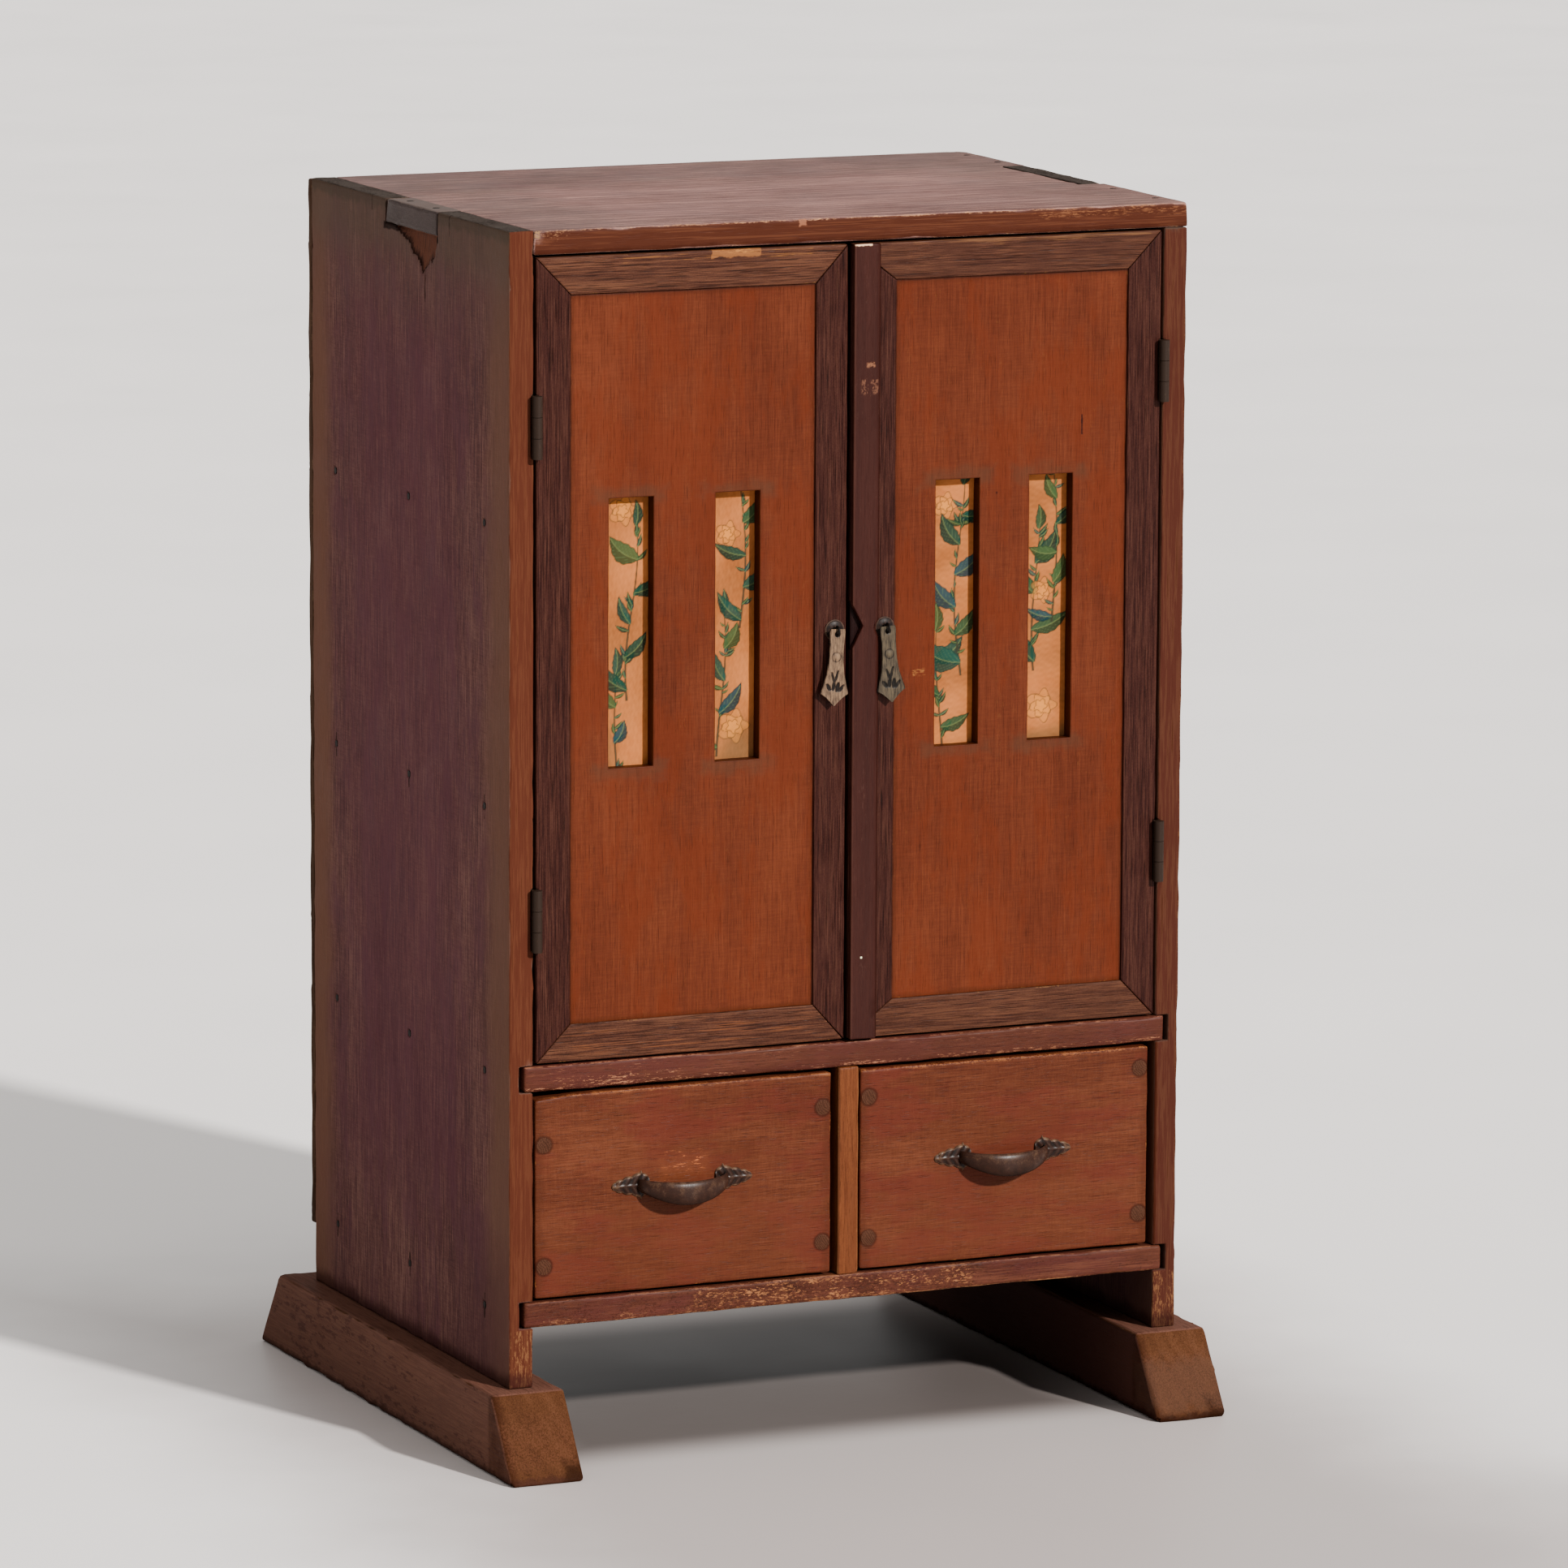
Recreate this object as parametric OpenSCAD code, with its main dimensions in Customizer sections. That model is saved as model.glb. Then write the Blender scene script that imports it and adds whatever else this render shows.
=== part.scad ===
// Low cupboard with two hinged doors over two drawers, on two long feet.
// The front faces -Y, +X is to the viewer's right and +Z is up.
// The origin lies on the floor, under the middle of the feet.

/* [Case] */
// Width across both side boards
case_w = 450; // [430:1:520]
// Depth of the side boards from front to rear
case_d = 328; // [315:1:380]
// Height of the side boards above the feet
case_h = 707; // [695:1:780]
// Thickness of each side board
side_t = 16; // [14:0.5:20]
// Thickness of the top board
top_t = 15; // [12:0.5:18]
// Thickness of the shelf between the doors and the drawers
shelf_t = 16; // [13:0.5:20]
// Thickness of the bottom board
bottom_t = 16; // [13:0.5:20]
// Height of the bottom board above the feet
bottom_lift = 37; // [20:1:50]
// Height of the drawer openings
bay_h = 130; // [126:1:150]
// Thickness of the upright between the drawers
divider_t = 14; // [10:0.5:18]
// Depth of the grooves that hold the upright's ends
divider_housing = 3; // [2:0.5:5]
// Distance of those grooves from the front
divider_stop = 8; // [5:1:20]
// Thickness of the back panel
back_t = 7; // [5:0.5:10]
// Step from the top of the case down to the back panel
back_drop = 1; // [0.5:0.5:8]
// Depth of the grooves that hold the ends of the boards
housing_d = 9; // [6:0.5:10]
// Gap between the end of a board and the floor of its groove
housing_gap = 2.8; // [0.5:0.1:3.5]

/* [Inner shelves] */
// Thickness of the two shelves behind the doors
inner_t = 12; // [9:0.5:16]
// Height of the lower one's middle above the middle shelf
inner_low = 155; // [120:1:165]
// Distance of the upper one's middle below the top board
inner_high = 165; // [120:1:190]
// Gap between the backs of the doors and these shelves
door_stop_gap = 0.5; // [0.4:0.1:3]

/* [Corner joints] */
// Distance from the front to the top board's tab on the left
left_tab_start = 116; // [90:1:140]
// Length of that tab
left_tab_len = 85; // [60:1:110]
// Distance from the front to the side board's finger on the right
right_finger_start = 119; // [90:1:140]
// Length of that finger
right_finger_len = 116; // [80:1:130]
// Height of the worn chip under the left tab
chip_h = 22; // [10:1:30]
// Length of that chip
chip_len = 72; // [40:1:80]
// Depth of that chip
chip_d = 3; // [1:0.5:5]

/* [Feet] */
// Height of the feet
foot_h = 50; // [40:1:70]
// Width of each foot
foot_w = 48; // [36:1:60]
// Reach of the feet in front of the case, at the floor
foot_front = 44; // [38:1:60]
// Reach of the feet behind the case, at the floor
foot_rear = 58; // [45:1:70]
// Lean of each end of a foot over its height
foot_lean = 34; // [15:1:36]

/* [Doors] */
// Thickness of the door frames
door_t = 18; // [16:0.5:22]
// Gap around each door
door_gap = 1.5; // [1:0.1:2.5]
// Place of the line where the doors meet, from the middle
meet_x = -2.2; // [-6:0.1:6]
// Gap between the doors where they meet
meet_gap = 2.4; // [2.2:0.1:4]
// Width of the rails
rail_w = 23; // [20:0.5:30]
// Width of the stiles on the hinge side
hinge_stile_w = 22.4; // [19:0.2:28]
// Width of the left door's meeting stile
left_meet_w = 21; // [18:0.5:28]
// Width of the right door's meeting stile, part of it under the strip
right_meet_w = 29.8; // [28:0.2:36]
// Length of the rails' tenons past the inner corner of the mitre
tenon_back = 2; // [1:0.5:4]
// Thickness of the tenons
tenon_t = 4; // [3:0.5:5]
// Wood between the tenons and the panel's groove
tenon_gap = 1.5; // [1:0.1:2]
// Step from the edges of a rail to its tenon
tenon_step = 4; // [3:0.5:6]

/* [Door panels] */
// Thickness of the panels
panel_t = 9; // [8:0.5:10]
// Set back of the panels behind the frames
panel_set = 1.5; // [0.5:0.5:2.5]
// Thickness of the tongue around a panel
tongue_t = 4; // [3:0.5:5]
// Reach of that tongue into the frame
tongue_w = 5; // [3:0.5:7]
// Play between the tongue and its groove
tongue_play = 0.3; // [0.1:0.1:0.5]
// Gap round the face of a panel
panel_gap = 0.2; // [0.1:0.1:0.4]
// Width of the slots
slot_w = 29; // [24:0.5:34]
// Height of the slots
slot_h = 164.5; // [120:0.5:180]
// Height of the slots above the foot of the door
slot_up = 178; // [150:1:200]
// Place of the left door's outer slot, from its hinge edge
left_outer_slot = 62.5; // [55:0.5:70]
// Place of the left door's inner slot, from its free edge
left_inner_slot = 71.6; // [58:0.2:80]
// Place of the right door's outer slot, from its hinge edge
right_outer_slot = 73; // [60:0.5:80]
// Place of the right door's inner slot, from its free edge
right_inner_slot = 70.5; // [64:0.5:76]
// Margin of the printed paper around the slots
print_margin = 10; // [5:1:12]
// Thickness of the printed paper
print_t = 0.4; // [0.3:0.1:0.8]
// Thickness of the board that holds the paper
backing_t = 3; // [2:0.5:3.5]

/* [Meeting strip] */
// Width of the strip on the right door
strip_w = 18; // [14:0.5:20]
// How far the strip stands out of the door
strip_proud = 4; // [3:0.2:4.2]
// Bevel along the strip's right edge
strip_bevel = 1.6; // [0.5:0.1:2.5]
// Depth of the notch in the strip's left edge
notch_d = 7; // [3:0.5:9]
// Height of that notch
notch_h = 27; // [15:1:40]
// Height of its middle above the pulls
notch_up = 2; // [-4:0.5:6]

/* [Hinges] */
// Height of a hinge
hinge_h = 38; // [34:1:46]
// Radius of the hinge knuckles
knuckle_r = 3.2; // [2.9:0.1:3.2]
// Distance of the hinge pins in front of the case
hinge_proud = 3.6; // [3.5:0.1:4.5]
// Radius of the hinge pins
pin_r = 1.25; // [1:0.05:1.5]
// Width of a leaf in its recess
leaf_w = 14; // [12:0.5:16]
// Thickness of a leaf
leaf_t = 1.2; // [1:0.1:1.6]
// Gap between knuckles
knuckle_gap = 0.3; // [0.2:0.1:0.6]
// Middle of the left door's lower hinge above its foot
left_hinge_low = 88.5; // [70:0.5:110]
// Middle of the right door's lower hinge above its foot
right_hinge_low = 103.5; // [80:0.5:110]
// Middle of the left door's upper hinge below its top
left_hinge_high = 101.5; // [70:0.5:120]
// Middle of the right door's upper hinge below its top
right_hinge_high = 86.5; // [70:0.5:120]
// Radius of the hinge screws
hinge_screw_r = 1.3; // [1:0.1:1.5]
// Length of the hinge screws
hinge_screw_l = 12; // [9:0.5:13]
// Distance of the hinge screws from the middle of the hinge, up and down
hinge_screw_z = 10.6; // [8:0.2:13]
// Distance of the hinge screws from the middle of the leaf, to the rear
hinge_screw_in = 0.5; // [0:0.1:1.5]

/* [Door pulls] */
// Height of the pulls above the foot of the door
drop_up = 254.5; // [230:0.5:280]
// Place of the left pull, from its door's free edge
left_drop_in = 8; // [7.5:0.5:11]
// Place of the right pull, from its door's free edge
right_drop_in = 23; // [22:0.5:25]
// Radius of the round rosette
rosette_r = 6.5; // [5.5:0.1:7]
// Height of the rosette's dome
rosette_h = 1.4; // [0.8:0.1:1.6]
// Height of the rosette's rim
rosette_rim = 0.5; // [0.3:0.1:0.7]
// Free space round the rosette where it lies in the strip
rosette_play = 0.4; // [0.3:0.1:1]
// Distance of the ring's centre in front of the door
ring_out = 5; // [4.9:0.1:6]
// Radius of the ring's middle line
ring_r = 2.6; // [2.4:0.1:2.8]
// Radius of the ring's wire
wire_r = 0.7; // [0.5:0.1:0.8]
// Radius of the shank in the stile
shank_r = 1; // [0.8:0.1:1.4]
// Depth of the shank in the stile
shank_l = 13; // [8:0.5:14]
// Free space round the ring's wire in the plate
ring_play = 0.5; // [0.3:0.1:0.6]
// Thickness of the hanging plate
plate_t = 1; // [0.6:0.1:1]
// Length of the hanging plate below the ring's centre
plate_l = 46; // [40:0.5:55]
// Lean of the left plate, its tip to the left, in degrees
left_lean = 3; // [-5:0.5:5]
// Lean of the right plate, its tip to the right, in degrees
right_lean = 4; // [-5:0.5:5]
// Greatest width of the hanging plate
plate_w = 18.6; // [16:0.2:20]
// Width of the hanging plate at its top
plate_top_w = 10.6; // [9:0.2:12]

/* [Drawers] */
// Play on the left of each drawer
play_left = 1; // [0.5:0.1:2]
// Play on the right of each drawer
play_right = 4.5; // [1:0.1:6]
// Running gap under the drawer sides
run_gap = 0.3; // [0.2:0.1:0.8]
// Gap under the drawer fronts
front_under = 2; // [1:0.1:4]
// Gap over the drawer fronts
front_over = 2.5; // [1:0.1:4]
// Thickness of the drawer fronts
front_t = 14; // [12:0.5:18]
// Thickness of the drawer sides
wall_t = 11; // [10:0.5:13]
// Gap over the drawer sides
wall_over = 9.7; // [5:0.1:12]
// Thickness of the drawer backs
rear_t = 10; // [8:0.5:14]
// Step from the top of the drawer sides down to the back
rear_step = 4; // [1:0.5:10]
// Thickness of the drawer bottoms
floor_t = 5; // [3:0.5:7]
// Height of the drawer bottoms above the lower edge of the sides
floor_up = 6; // [4:0.5:10]
// Depth of the grooves for the drawer bottoms
floor_groove = 4; // [3:0.5:5]
// Free play round the drawer bottoms
floor_play = 0.2; // [0.1:0.1:0.4]
// Gap between the drawers and the back panel that stops them
drawer_stop_gap = 0.8; // [0.4:0.1:5]
// Radius of the round plugs in the drawer fronts
plug_r = 5; // [4:0.1:5.2]
// Depth of those plugs
plug_d = 5; // [3:0.5:7]
// Distance of the plugs from the ends of the drawer front
plug_in = 5.8; // [5.4:0.1:8]
// Height of the lower plugs above the lower edge of the front
plug_low = 19.5; // [12:0.5:30]
// Upper plug at the left end of the left drawer, below the front's upper edge
left_plug_high_a = 30.5; // [13:0.5:40]
// Upper plug at the right end of the left drawer
left_plug_high_b = 21.5; // [13:0.5:40]
// Upper plug at the left end of the right drawer
right_plug_high_a = 17.5; // [13:0.5:40]
// Upper plug at the right end of the right drawer
right_plug_high_b = 13.5; // [13:0.5:40]
// Lower nails at the rear of the drawers, above the lower edge of the sides
rear_nail_low = 36; // [20:1:50]
// Upper nails there, below the upper edge of the sides
rear_nail_high = 30; // [15:1:40]

/* [Drawer pulls] */
// Length of a pull from tip to tip
pull_w = 93; // [84:1:110]
// Length of the grip between its two leaves
grip_span = 57; // [48:1:62]
// How far the grip stands out of the drawer
grip_out = 17; // [14:0.5:24]
// Height of the grip at its middle
grip_mid_h = 14.5; // [9:0.5:16]
// Height of the grip at its ends
grip_end_h = 8; // [6:0.5:9]
// Thickness of the grip
grip_t = 4.4; // [3:0.2:5]
// Sag of the grip's middle below its ends
grip_sag = 4.5; // [0:0.5:6]
// Thickness of the leaves
leaf_plate_t = 2; // [1.5:0.1:3]
// Offset of the pulls to the left of the drawer's middle
pull_shift = 1.5; // [0:0.5:4]
// Height of the pulls above the middle of the drawer front
pull_rise = 2.8; // [0:0.1:6]
// Radius of the studs behind the leaves
stud_r = 2; // [1.5:0.1:2.5]
// Length of those studs
stud_l = 11; // [8:0.5:11.5]
// Distance of the studs outward from the ends of the grip
stud_out = 3; // [1:0.5:6]
// Radius of the lobe at the root of a leaf, round the end of the grip
root_lobe_r = 8; // [6:0.2:9]
// Radius of the lobe in the middle of a leaf
lobe_r = 5.6; // [4:0.2:6.4]
// Radius of the lobe next to the tip of a leaf
outer_lobe_r = 4.2; // [3:0.2:4.8]
// Radius of the tip of a leaf
leaf_tip_r = 2.6; // [1.4:0.2:3]
// Side of the pointed leaflets above and below the end of the grip
leaflet_side = 4.6; // [3.6:0.2:5.6]

/* [Nails and screws] */
// Radius of the nails
nail_r = 1; // [0.8:0.1:1.2]
// Radius of the nail heads
nail_head_r = 2; // [1.6:0.1:2.4]
// Thickness of the nail heads
nail_head_t = 0.8; // [0.6:0.1:1.2]
// Bite of the nails in the shelves and the top, past the board they hold
nail_bite = 26; // [18:1:35]
// Bite of the nails in the back panel
back_bite = 18; // [12:1:22]
// Bite of the nails in the drawers
drawer_bite = 16; // [10:1:20]
// Distance of the outer nails of a row from its ends
nail_in = 40; // [30:1:55]
// Radius of the screws in the feet
foot_screw_r = 2.2; // [1.8:0.1:2.6]
// Radius of their heads
foot_screw_head_r = 4; // [3.4:0.1:5]
// Thickness of their heads
foot_screw_head_t = 3; // [2:0.5:4]
// Distance of the outer screws from the ends of the side boards
foot_screw_in = 60; // [50:1:80]
// Bite of those screws in the side boards
foot_bite = 25; // [18:1:30]
// Depth of the round recess for their heads
foot_recess = 22; // [15:1:26]
// Free play around nails, screws and studs
fit_play = 0.05; // [0.03:0.01:0.1]

/* [Hidden] */
$fn = 48;
// A cut runs past a free face by this much
past = 1;

// Places in the case, from its front, the floor of the side boards and its middle
front_y = foot_front - (case_d + foot_front + foot_rear) / 2;
inner_x = case_w / 2 - side_t;
board_end_x = inner_x + housing_d - housing_gap;
bay_z = bottom_lift + bottom_t;
shelf_z = bay_z + bay_h;
door_bay_z = shelf_z + shelf_t;
top_z = case_h - top_t;
inner_y = door_t + door_stop_gap;
low_z = door_bay_z + inner_low - inner_t / 2;
high_z = top_z - inner_high - inner_t / 2;
left_tab_end = left_tab_start + left_tab_len;
right_finger_end = right_finger_start + right_finger_len;
side_mid_x = case_w / 2 - side_t / 2;
nail_ys = [for (i = [0:2]) nail_in + i * (case_d - 2 * nail_in) / 2];
board_mid_zs = [bay_z - bottom_t / 2, shelf_z + shelf_t / 2,
                low_z + inner_t / 2, high_z + inner_t / 2];
foot_screw_ys = [for (i = [0:2]) foot_screw_in + i * (case_d - 2 * foot_screw_in) / 2];

// Places in a door, from its hinge edge, its face and its foot
door_z = door_bay_z + door_gap;
door_h = top_z - door_bay_z - 2 * door_gap;
left_door_w = inner_x - door_gap + meet_x - meet_gap / 2;
right_door_w = inner_x - door_gap - meet_x - meet_gap / 2;
tongue_y = panel_set + (panel_t - tongue_t) / 2;
tenon_y = tongue_y + tongue_t + tenon_gap;
print_y = panel_set + panel_t;
leaf_x = door_gap / 2;
bore_r = pin_r + fit_play;
knuckle_l = (hinge_h - 2 * knuckle_gap) / 3;
hinge_screw_y = hinge_proud + leaf_w / 2 + hinge_screw_in;
left_hinges = [left_hinge_low, door_h - left_hinge_high];
right_hinges = [right_hinge_low, door_h - right_hinge_high];
left_slots = [left_outer_slot, left_door_w - left_inner_slot];
right_slots = [right_outer_slot, right_door_w - right_inner_slot];

// Places in a drawer, from its left end, its face and the floor of its bay
bay_w = inner_x - divider_t / 2;
left_plug_high = [left_plug_high_a, left_plug_high_b];
right_plug_high = [right_plug_high_a, right_plug_high_b];
drawer_w = bay_w - play_left - play_right;
front_h = bay_h - front_under - front_over;
drawer_l = case_d - drawer_stop_gap;
wall_l = drawer_l - front_t;
wall_h = bay_h - run_gap - wall_over;
// The grip is swept as rings of points round a bow
grip_rings = 24;
grip_sides = 20;

// Fasteners point down from a head whose top lies at the origin

module nail(l, play = 0) {
    translate([0, 0, -nail_head_t]) {
        cylinder(h = nail_head_t + (play > 0 ? past : 0), r = nail_head_r + play);
        translate([0, 0, nail_head_t - l - play])
            cylinder(h = l - nail_head_t + play, r = nail_r + play);
    }
}

module hinge_screw(play = 0) {
    translate([0, 0, -leaf_t])
        cylinder(h = leaf_t, r1 = hinge_screw_r + play, r2 = 2 * hinge_screw_r + play);
    translate([0, 0, -hinge_screw_l])
        cylinder(h = hinge_screw_l - leaf_t, r = hinge_screw_r + play);
}

module foot_screw(play = 0) {
    l = foot_h - foot_recess + foot_bite;
    translate([0, 0, -foot_screw_head_t])
        cylinder(h = foot_screw_head_t, r = foot_screw_head_r + play);
    translate([0, 0, -l - play])
        cylinder(h = l - foot_screw_head_t + play, r = foot_screw_r + play);
}

// Turns for a fastener driven to +X, -X, +Y, -Y and up
module to_right() { rotate([0, -90, 0]) children(); }
module to_left() { rotate([0, 90, 0]) children(); }
module to_rear() { rotate([90, 0, 0]) children(); }
module to_front() { rotate([-90, 0, 0]) children(); }
module to_top() { rotate([180, 0, 0]) children(); }

module in_case() { translate([0, front_y, foot_h]) children(); }
module flip() { mirror([1, 0, 0]) children(); }
module left_door() { in_case() translate([door_gap - inner_x, 0, door_z]) children(); }
module right_door() {
    in_case() flip() translate([door_gap - inner_x, 0, door_z]) children();
}

// Rows of fasteners in the frame of the case

module left_shelf_nails(play = 0) {
    for (y = nail_ys, z = board_mid_zs)
        translate([-case_w / 2, y, z]) to_right() nail(side_t + nail_bite, play);
}

module top_nail_row(start, end, play) {
    for (i = [1, 3])
        translate([-side_mid_x, start + i * (end - start) / 4, case_h])
            nail(top_t + nail_bite, play);
}

module left_top_nails(play = 0) {
    top_nail_row(left_tab_start, left_tab_end, play);
}

module right_top_nails(play = 0) {
    flip() {
        top_nail_row(0, right_finger_start, play);
        top_nail_row(right_finger_end, case_d, play);
    }
}

module back_edge_nails(play = 0) {
    rise = (case_h - bay_z - 2 * nail_in) / 4;
    for (i = [0:4])
        translate([-side_mid_x, case_d + back_t, bay_z + nail_in + i * rise])
            to_front() nail(back_t + back_bite, play);
}

module back_board_nails(play = 0) {
    for (x = [-1, 0, 1], z = [board_mid_zs[0], board_mid_zs[1], case_h - top_t / 2])
        translate([x * inner_x * 2 / 3, case_d + back_t, z])
            to_front() nail(back_t + back_bite, play);
}

module left_foot_screws(play = 0) {
    for (y = foot_screw_ys)
        translate([-side_mid_x, y, foot_recess - foot_h]) to_top() foot_screw(play);
}

// Hinges, in the frame of a door, as its hinge edge sees them

module at_hinges(heights) {
    for (z = heights)
        translate([-leaf_x, -hinge_proud, z]) children([0:$children - 1]);
}

module knuckle(z) {
    translate([0, 0, z]) cylinder(h = knuckle_l, r = knuckle_r);
}

// Recess for a leaf: side is -1 in the case and 1 in the door
module leaf_recess(side) {
    x = side > 0 ? leaf_x - past : -leaf_x - leaf_t;
    translate([x, hinge_proud - past, -hinge_h / 2])
        cube([leaf_t + past, leaf_w + past, hinge_h]);
}

module hinge_screws(side, play = 0) {
    for (k = [-1, 1])
        translate([side * leaf_x, hinge_screw_y, k * hinge_screw_z]) {
            if (side > 0) to_right() hinge_screw(play);
            else to_left() hinge_screw(play);
        }
}

module hinge_leaf(side) {
    pitch = knuckle_l + knuckle_gap;
    lows = side > 0 ? [-knuckle_l / 2] : [-knuckle_l / 2 - pitch, -knuckle_l / 2 + pitch];
    x = side > 0 ? leaf_x : -leaf_x - leaf_t;
    color("#5b5046")
        difference() {
            union() {
                translate([x, hinge_proud, -hinge_h / 2]) cube([leaf_t, leaf_w, hinge_h]);
                for (z = lows) {
                    knuckle(z);
                    translate([x, 0, z]) cube([leaf_t, hinge_proud, knuckle_l]);
                }
            }
            translate([0, 0, -hinge_h]) cylinder(h = 2 * hinge_h, r = bore_r);
            hinge_screws(side, fit_play);
        }
}

// Boards of the case

module side_board(cuts, hinges) {
    difference() {
        translate([-case_w / 2, 0, 0]) cube([side_t, case_d, case_h]);
        for (c = cuts)
            translate([-case_w / 2 - past, c[0], top_z])
                cube([side_t + 2 * past, c[1], top_t + past]);
        board_housing(bottom_lift, bottom_t, 0);
        board_housing(shelf_z, shelf_t, 0);
        board_housing(low_z, inner_t, inner_y);
        board_housing(high_z, inner_t, inner_y);
        translate([door_gap - inner_x, 0, door_z])
            at_hinges(hinges) {
                leaf_recess(-1);
                hinge_screws(-1, fit_play);
            }
        left_shelf_nails(fit_play);
        back_edge_nails(fit_play);
        left_foot_screws(fit_play);
    }
}

module board_housing(z, t, y) {
    run_past = y > 0 ? 0 : past;
    translate([-inner_x - housing_d, y - run_past, z])
        cube([housing_d + past, case_d - y + run_past + past, t]);
}

module left_side() {
    color("#4a302b")
        in_case() difference() {
            side_board([[left_tab_start, left_tab_len]], left_hinges);
            left_top_nails(fit_play);
            chip();
        }
}

// A split in the face of the side board, under the tab of the top board
module chip() {
    translate([-case_w / 2 + chip_d, left_tab_start + 2, top_z])
        rotate([0, -90, 0])
            linear_extrude(height = chip_d + past)
                polygon([[-chip_h, 0], [0, 0], [0, chip_len], [-chip_h * 0.35, chip_len * 0.55]]);
}

module right_side() {
    color("#4a302b")
        in_case() difference() {
            flip() side_board([[-past, right_finger_start + past],
                               [right_finger_end, case_d - right_finger_end + past]],
                              right_hinges);
            right_top_nails(fit_play);
        }
}

module top_board() {
    color("#8a6a5c")
        in_case() difference() {
            translate([-case_w / 2, 0, top_z]) cube([case_w, case_d, top_t]);
            end_notch(-case_w / 2 - past, -past, left_tab_start);
            end_notch(-case_w / 2 - past, left_tab_end, case_d + past);
            end_notch(inner_x, right_finger_start, right_finger_end);
            left_top_nails(fit_play);
            right_top_nails(fit_play);
            back_board_nails(fit_play);
        }
}

module end_notch(x, start, end) {
    translate([x, start, top_z - past]) cube([side_t + past, end - start, top_t + 2 * past]);
}

module housed_board(z, t, y) {
    difference() {
        translate([-board_end_x, y, z]) cube([2 * board_end_x, case_d - y, t]);
        left_shelf_nails(fit_play);
        flip() left_shelf_nails(fit_play);
        back_board_nails(fit_play);
    }
}

// The upright's tongues run in both boards from just behind the front
module divider_tongues(grow = 0) {
    translate([-divider_t / 2, divider_stop, bay_z - divider_housing])
        cube([divider_t, case_d - divider_stop + grow, bay_h + 2 * divider_housing]);
}

module middle_shelf() {
    color("#7c4a3c")
        in_case() difference() {
            housed_board(shelf_z, shelf_t, 0);
            divider_tongues(past);
        }
}

module bottom_board() {
    color("#7c4a3c")
        in_case() difference() {
            housed_board(bottom_lift, bottom_t, 0);
            divider_tongues(past);
        }
}

module drawer_divider() {
    color("#8f5430")
        in_case() union() {
            translate([-divider_t / 2, 0, bay_z]) cube([divider_t, case_d, bay_h]);
            divider_tongues();
        }
}

module lower_inner_shelf() {
    color("#9a6a45") in_case() housed_board(low_z, inner_t, inner_y);
}

module upper_inner_shelf() {
    color("#9a6a45") in_case() housed_board(high_z, inner_t, inner_y);
}

module back_panel() {
    color("#5c4034")
        in_case() difference() {
            translate([-case_w / 2, case_d, bottom_lift])
                cube([case_w, back_t, case_h - back_drop - bottom_lift]);
            back_edge_nails(fit_play);
            flip() back_edge_nails(fit_play);
            back_board_nails(fit_play);
        }
}

module foot() {
    outline = [[-foot_front, -foot_h],
               [case_d + foot_rear, -foot_h],
               [case_d + foot_rear - foot_lean, 0],
               [foot_lean - foot_front, 0]];
    color("#7a4630")
        difference() {
            translate([foot_w / 2 - side_mid_x, 0, 0])
                rotate([90, 0, -90])
                    linear_extrude(height = foot_w)
                        polygon([for (p = outline) [-p[0], p[1]]]);
            left_foot_screws(fit_play);
            for (y = foot_screw_ys)
                translate([-side_mid_x, y, -foot_h - past])
                    cylinder(h = foot_recess + past, r = foot_screw_head_r + fit_play);
        }
}

module left_foot() { in_case() foot(); }
module right_foot() { in_case() flip() foot(); }

module shelf_nails() {
    color("#3b332e") in_case() {
        left_shelf_nails();
        flip() left_shelf_nails();
    }
}

module top_nails() {
    color("#3b332e") in_case() {
        left_top_nails();
        right_top_nails();
    }
}

module back_nails() {
    color("#3b332e") in_case() {
        back_edge_nails();
        flip() back_edge_nails();
        back_board_nails();
    }
}

module foot_screws() {
    color("#3b332e") in_case() {
        left_foot_screws();
        flip() left_foot_screws();
    }
}

module case_hinge_leaves() {
    left_door() at_hinges(left_hinges) hinge_leaf(-1);
    right_door() at_hinges(right_hinges) hinge_leaf(-1);
}

module case_hinge_screws() {
    color("#8a7a5c") {
        left_door() at_hinges(left_hinges) hinge_screws(-1);
        right_door() at_hinges(right_hinges) hinge_screws(-1);
    }
}

module hinge_pin() {
    translate([0, 0, -hinge_h / 2]) cylinder(h = hinge_h, r = pin_r);
}

module hinge_pins() {
    color("#6e6252") {
        left_door() at_hinges(left_hinges) hinge_pin();
        right_door() at_hinges(right_hinges) hinge_pin();
    }
}

// Parts of a door, with its hinge edge at x = 0 and its foot at z = 0

module frame_slab(points) {
    translate([0, door_t, 0]) rotate([90, 0, 0]) linear_extrude(height = door_t) polygon(points);
}

module panel_groove(w, meet_w) {
    reach = tongue_w + tongue_play;
    translate([hinge_stile_w - reach, tongue_y - tongue_play / 2, rail_w - reach])
        cube([w - hinge_stile_w - meet_w + 2 * reach, tongue_t + tongue_play,
              door_h - 2 * rail_w + 2 * reach]);
}

// Tenons of both rails, at the hinge stile and at the meeting stile
module rail_tenon(w, meet_w, z) {
    translate([tenon_step, tenon_y, z + tenon_step])
        cube([hinge_stile_w - tenon_step + tenon_back, tenon_t, rail_w - 2 * tenon_step]);
    translate([w - meet_w - tenon_back, tenon_y, z + tenon_step])
        cube([meet_w - tenon_step + tenon_back, tenon_t, rail_w - 2 * tenon_step]);
}

module all_tenons(w, meet_w) {
    rail_tenon(w, meet_w, 0);
    rail_tenon(w, meet_w, door_h - rail_w);
}

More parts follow.
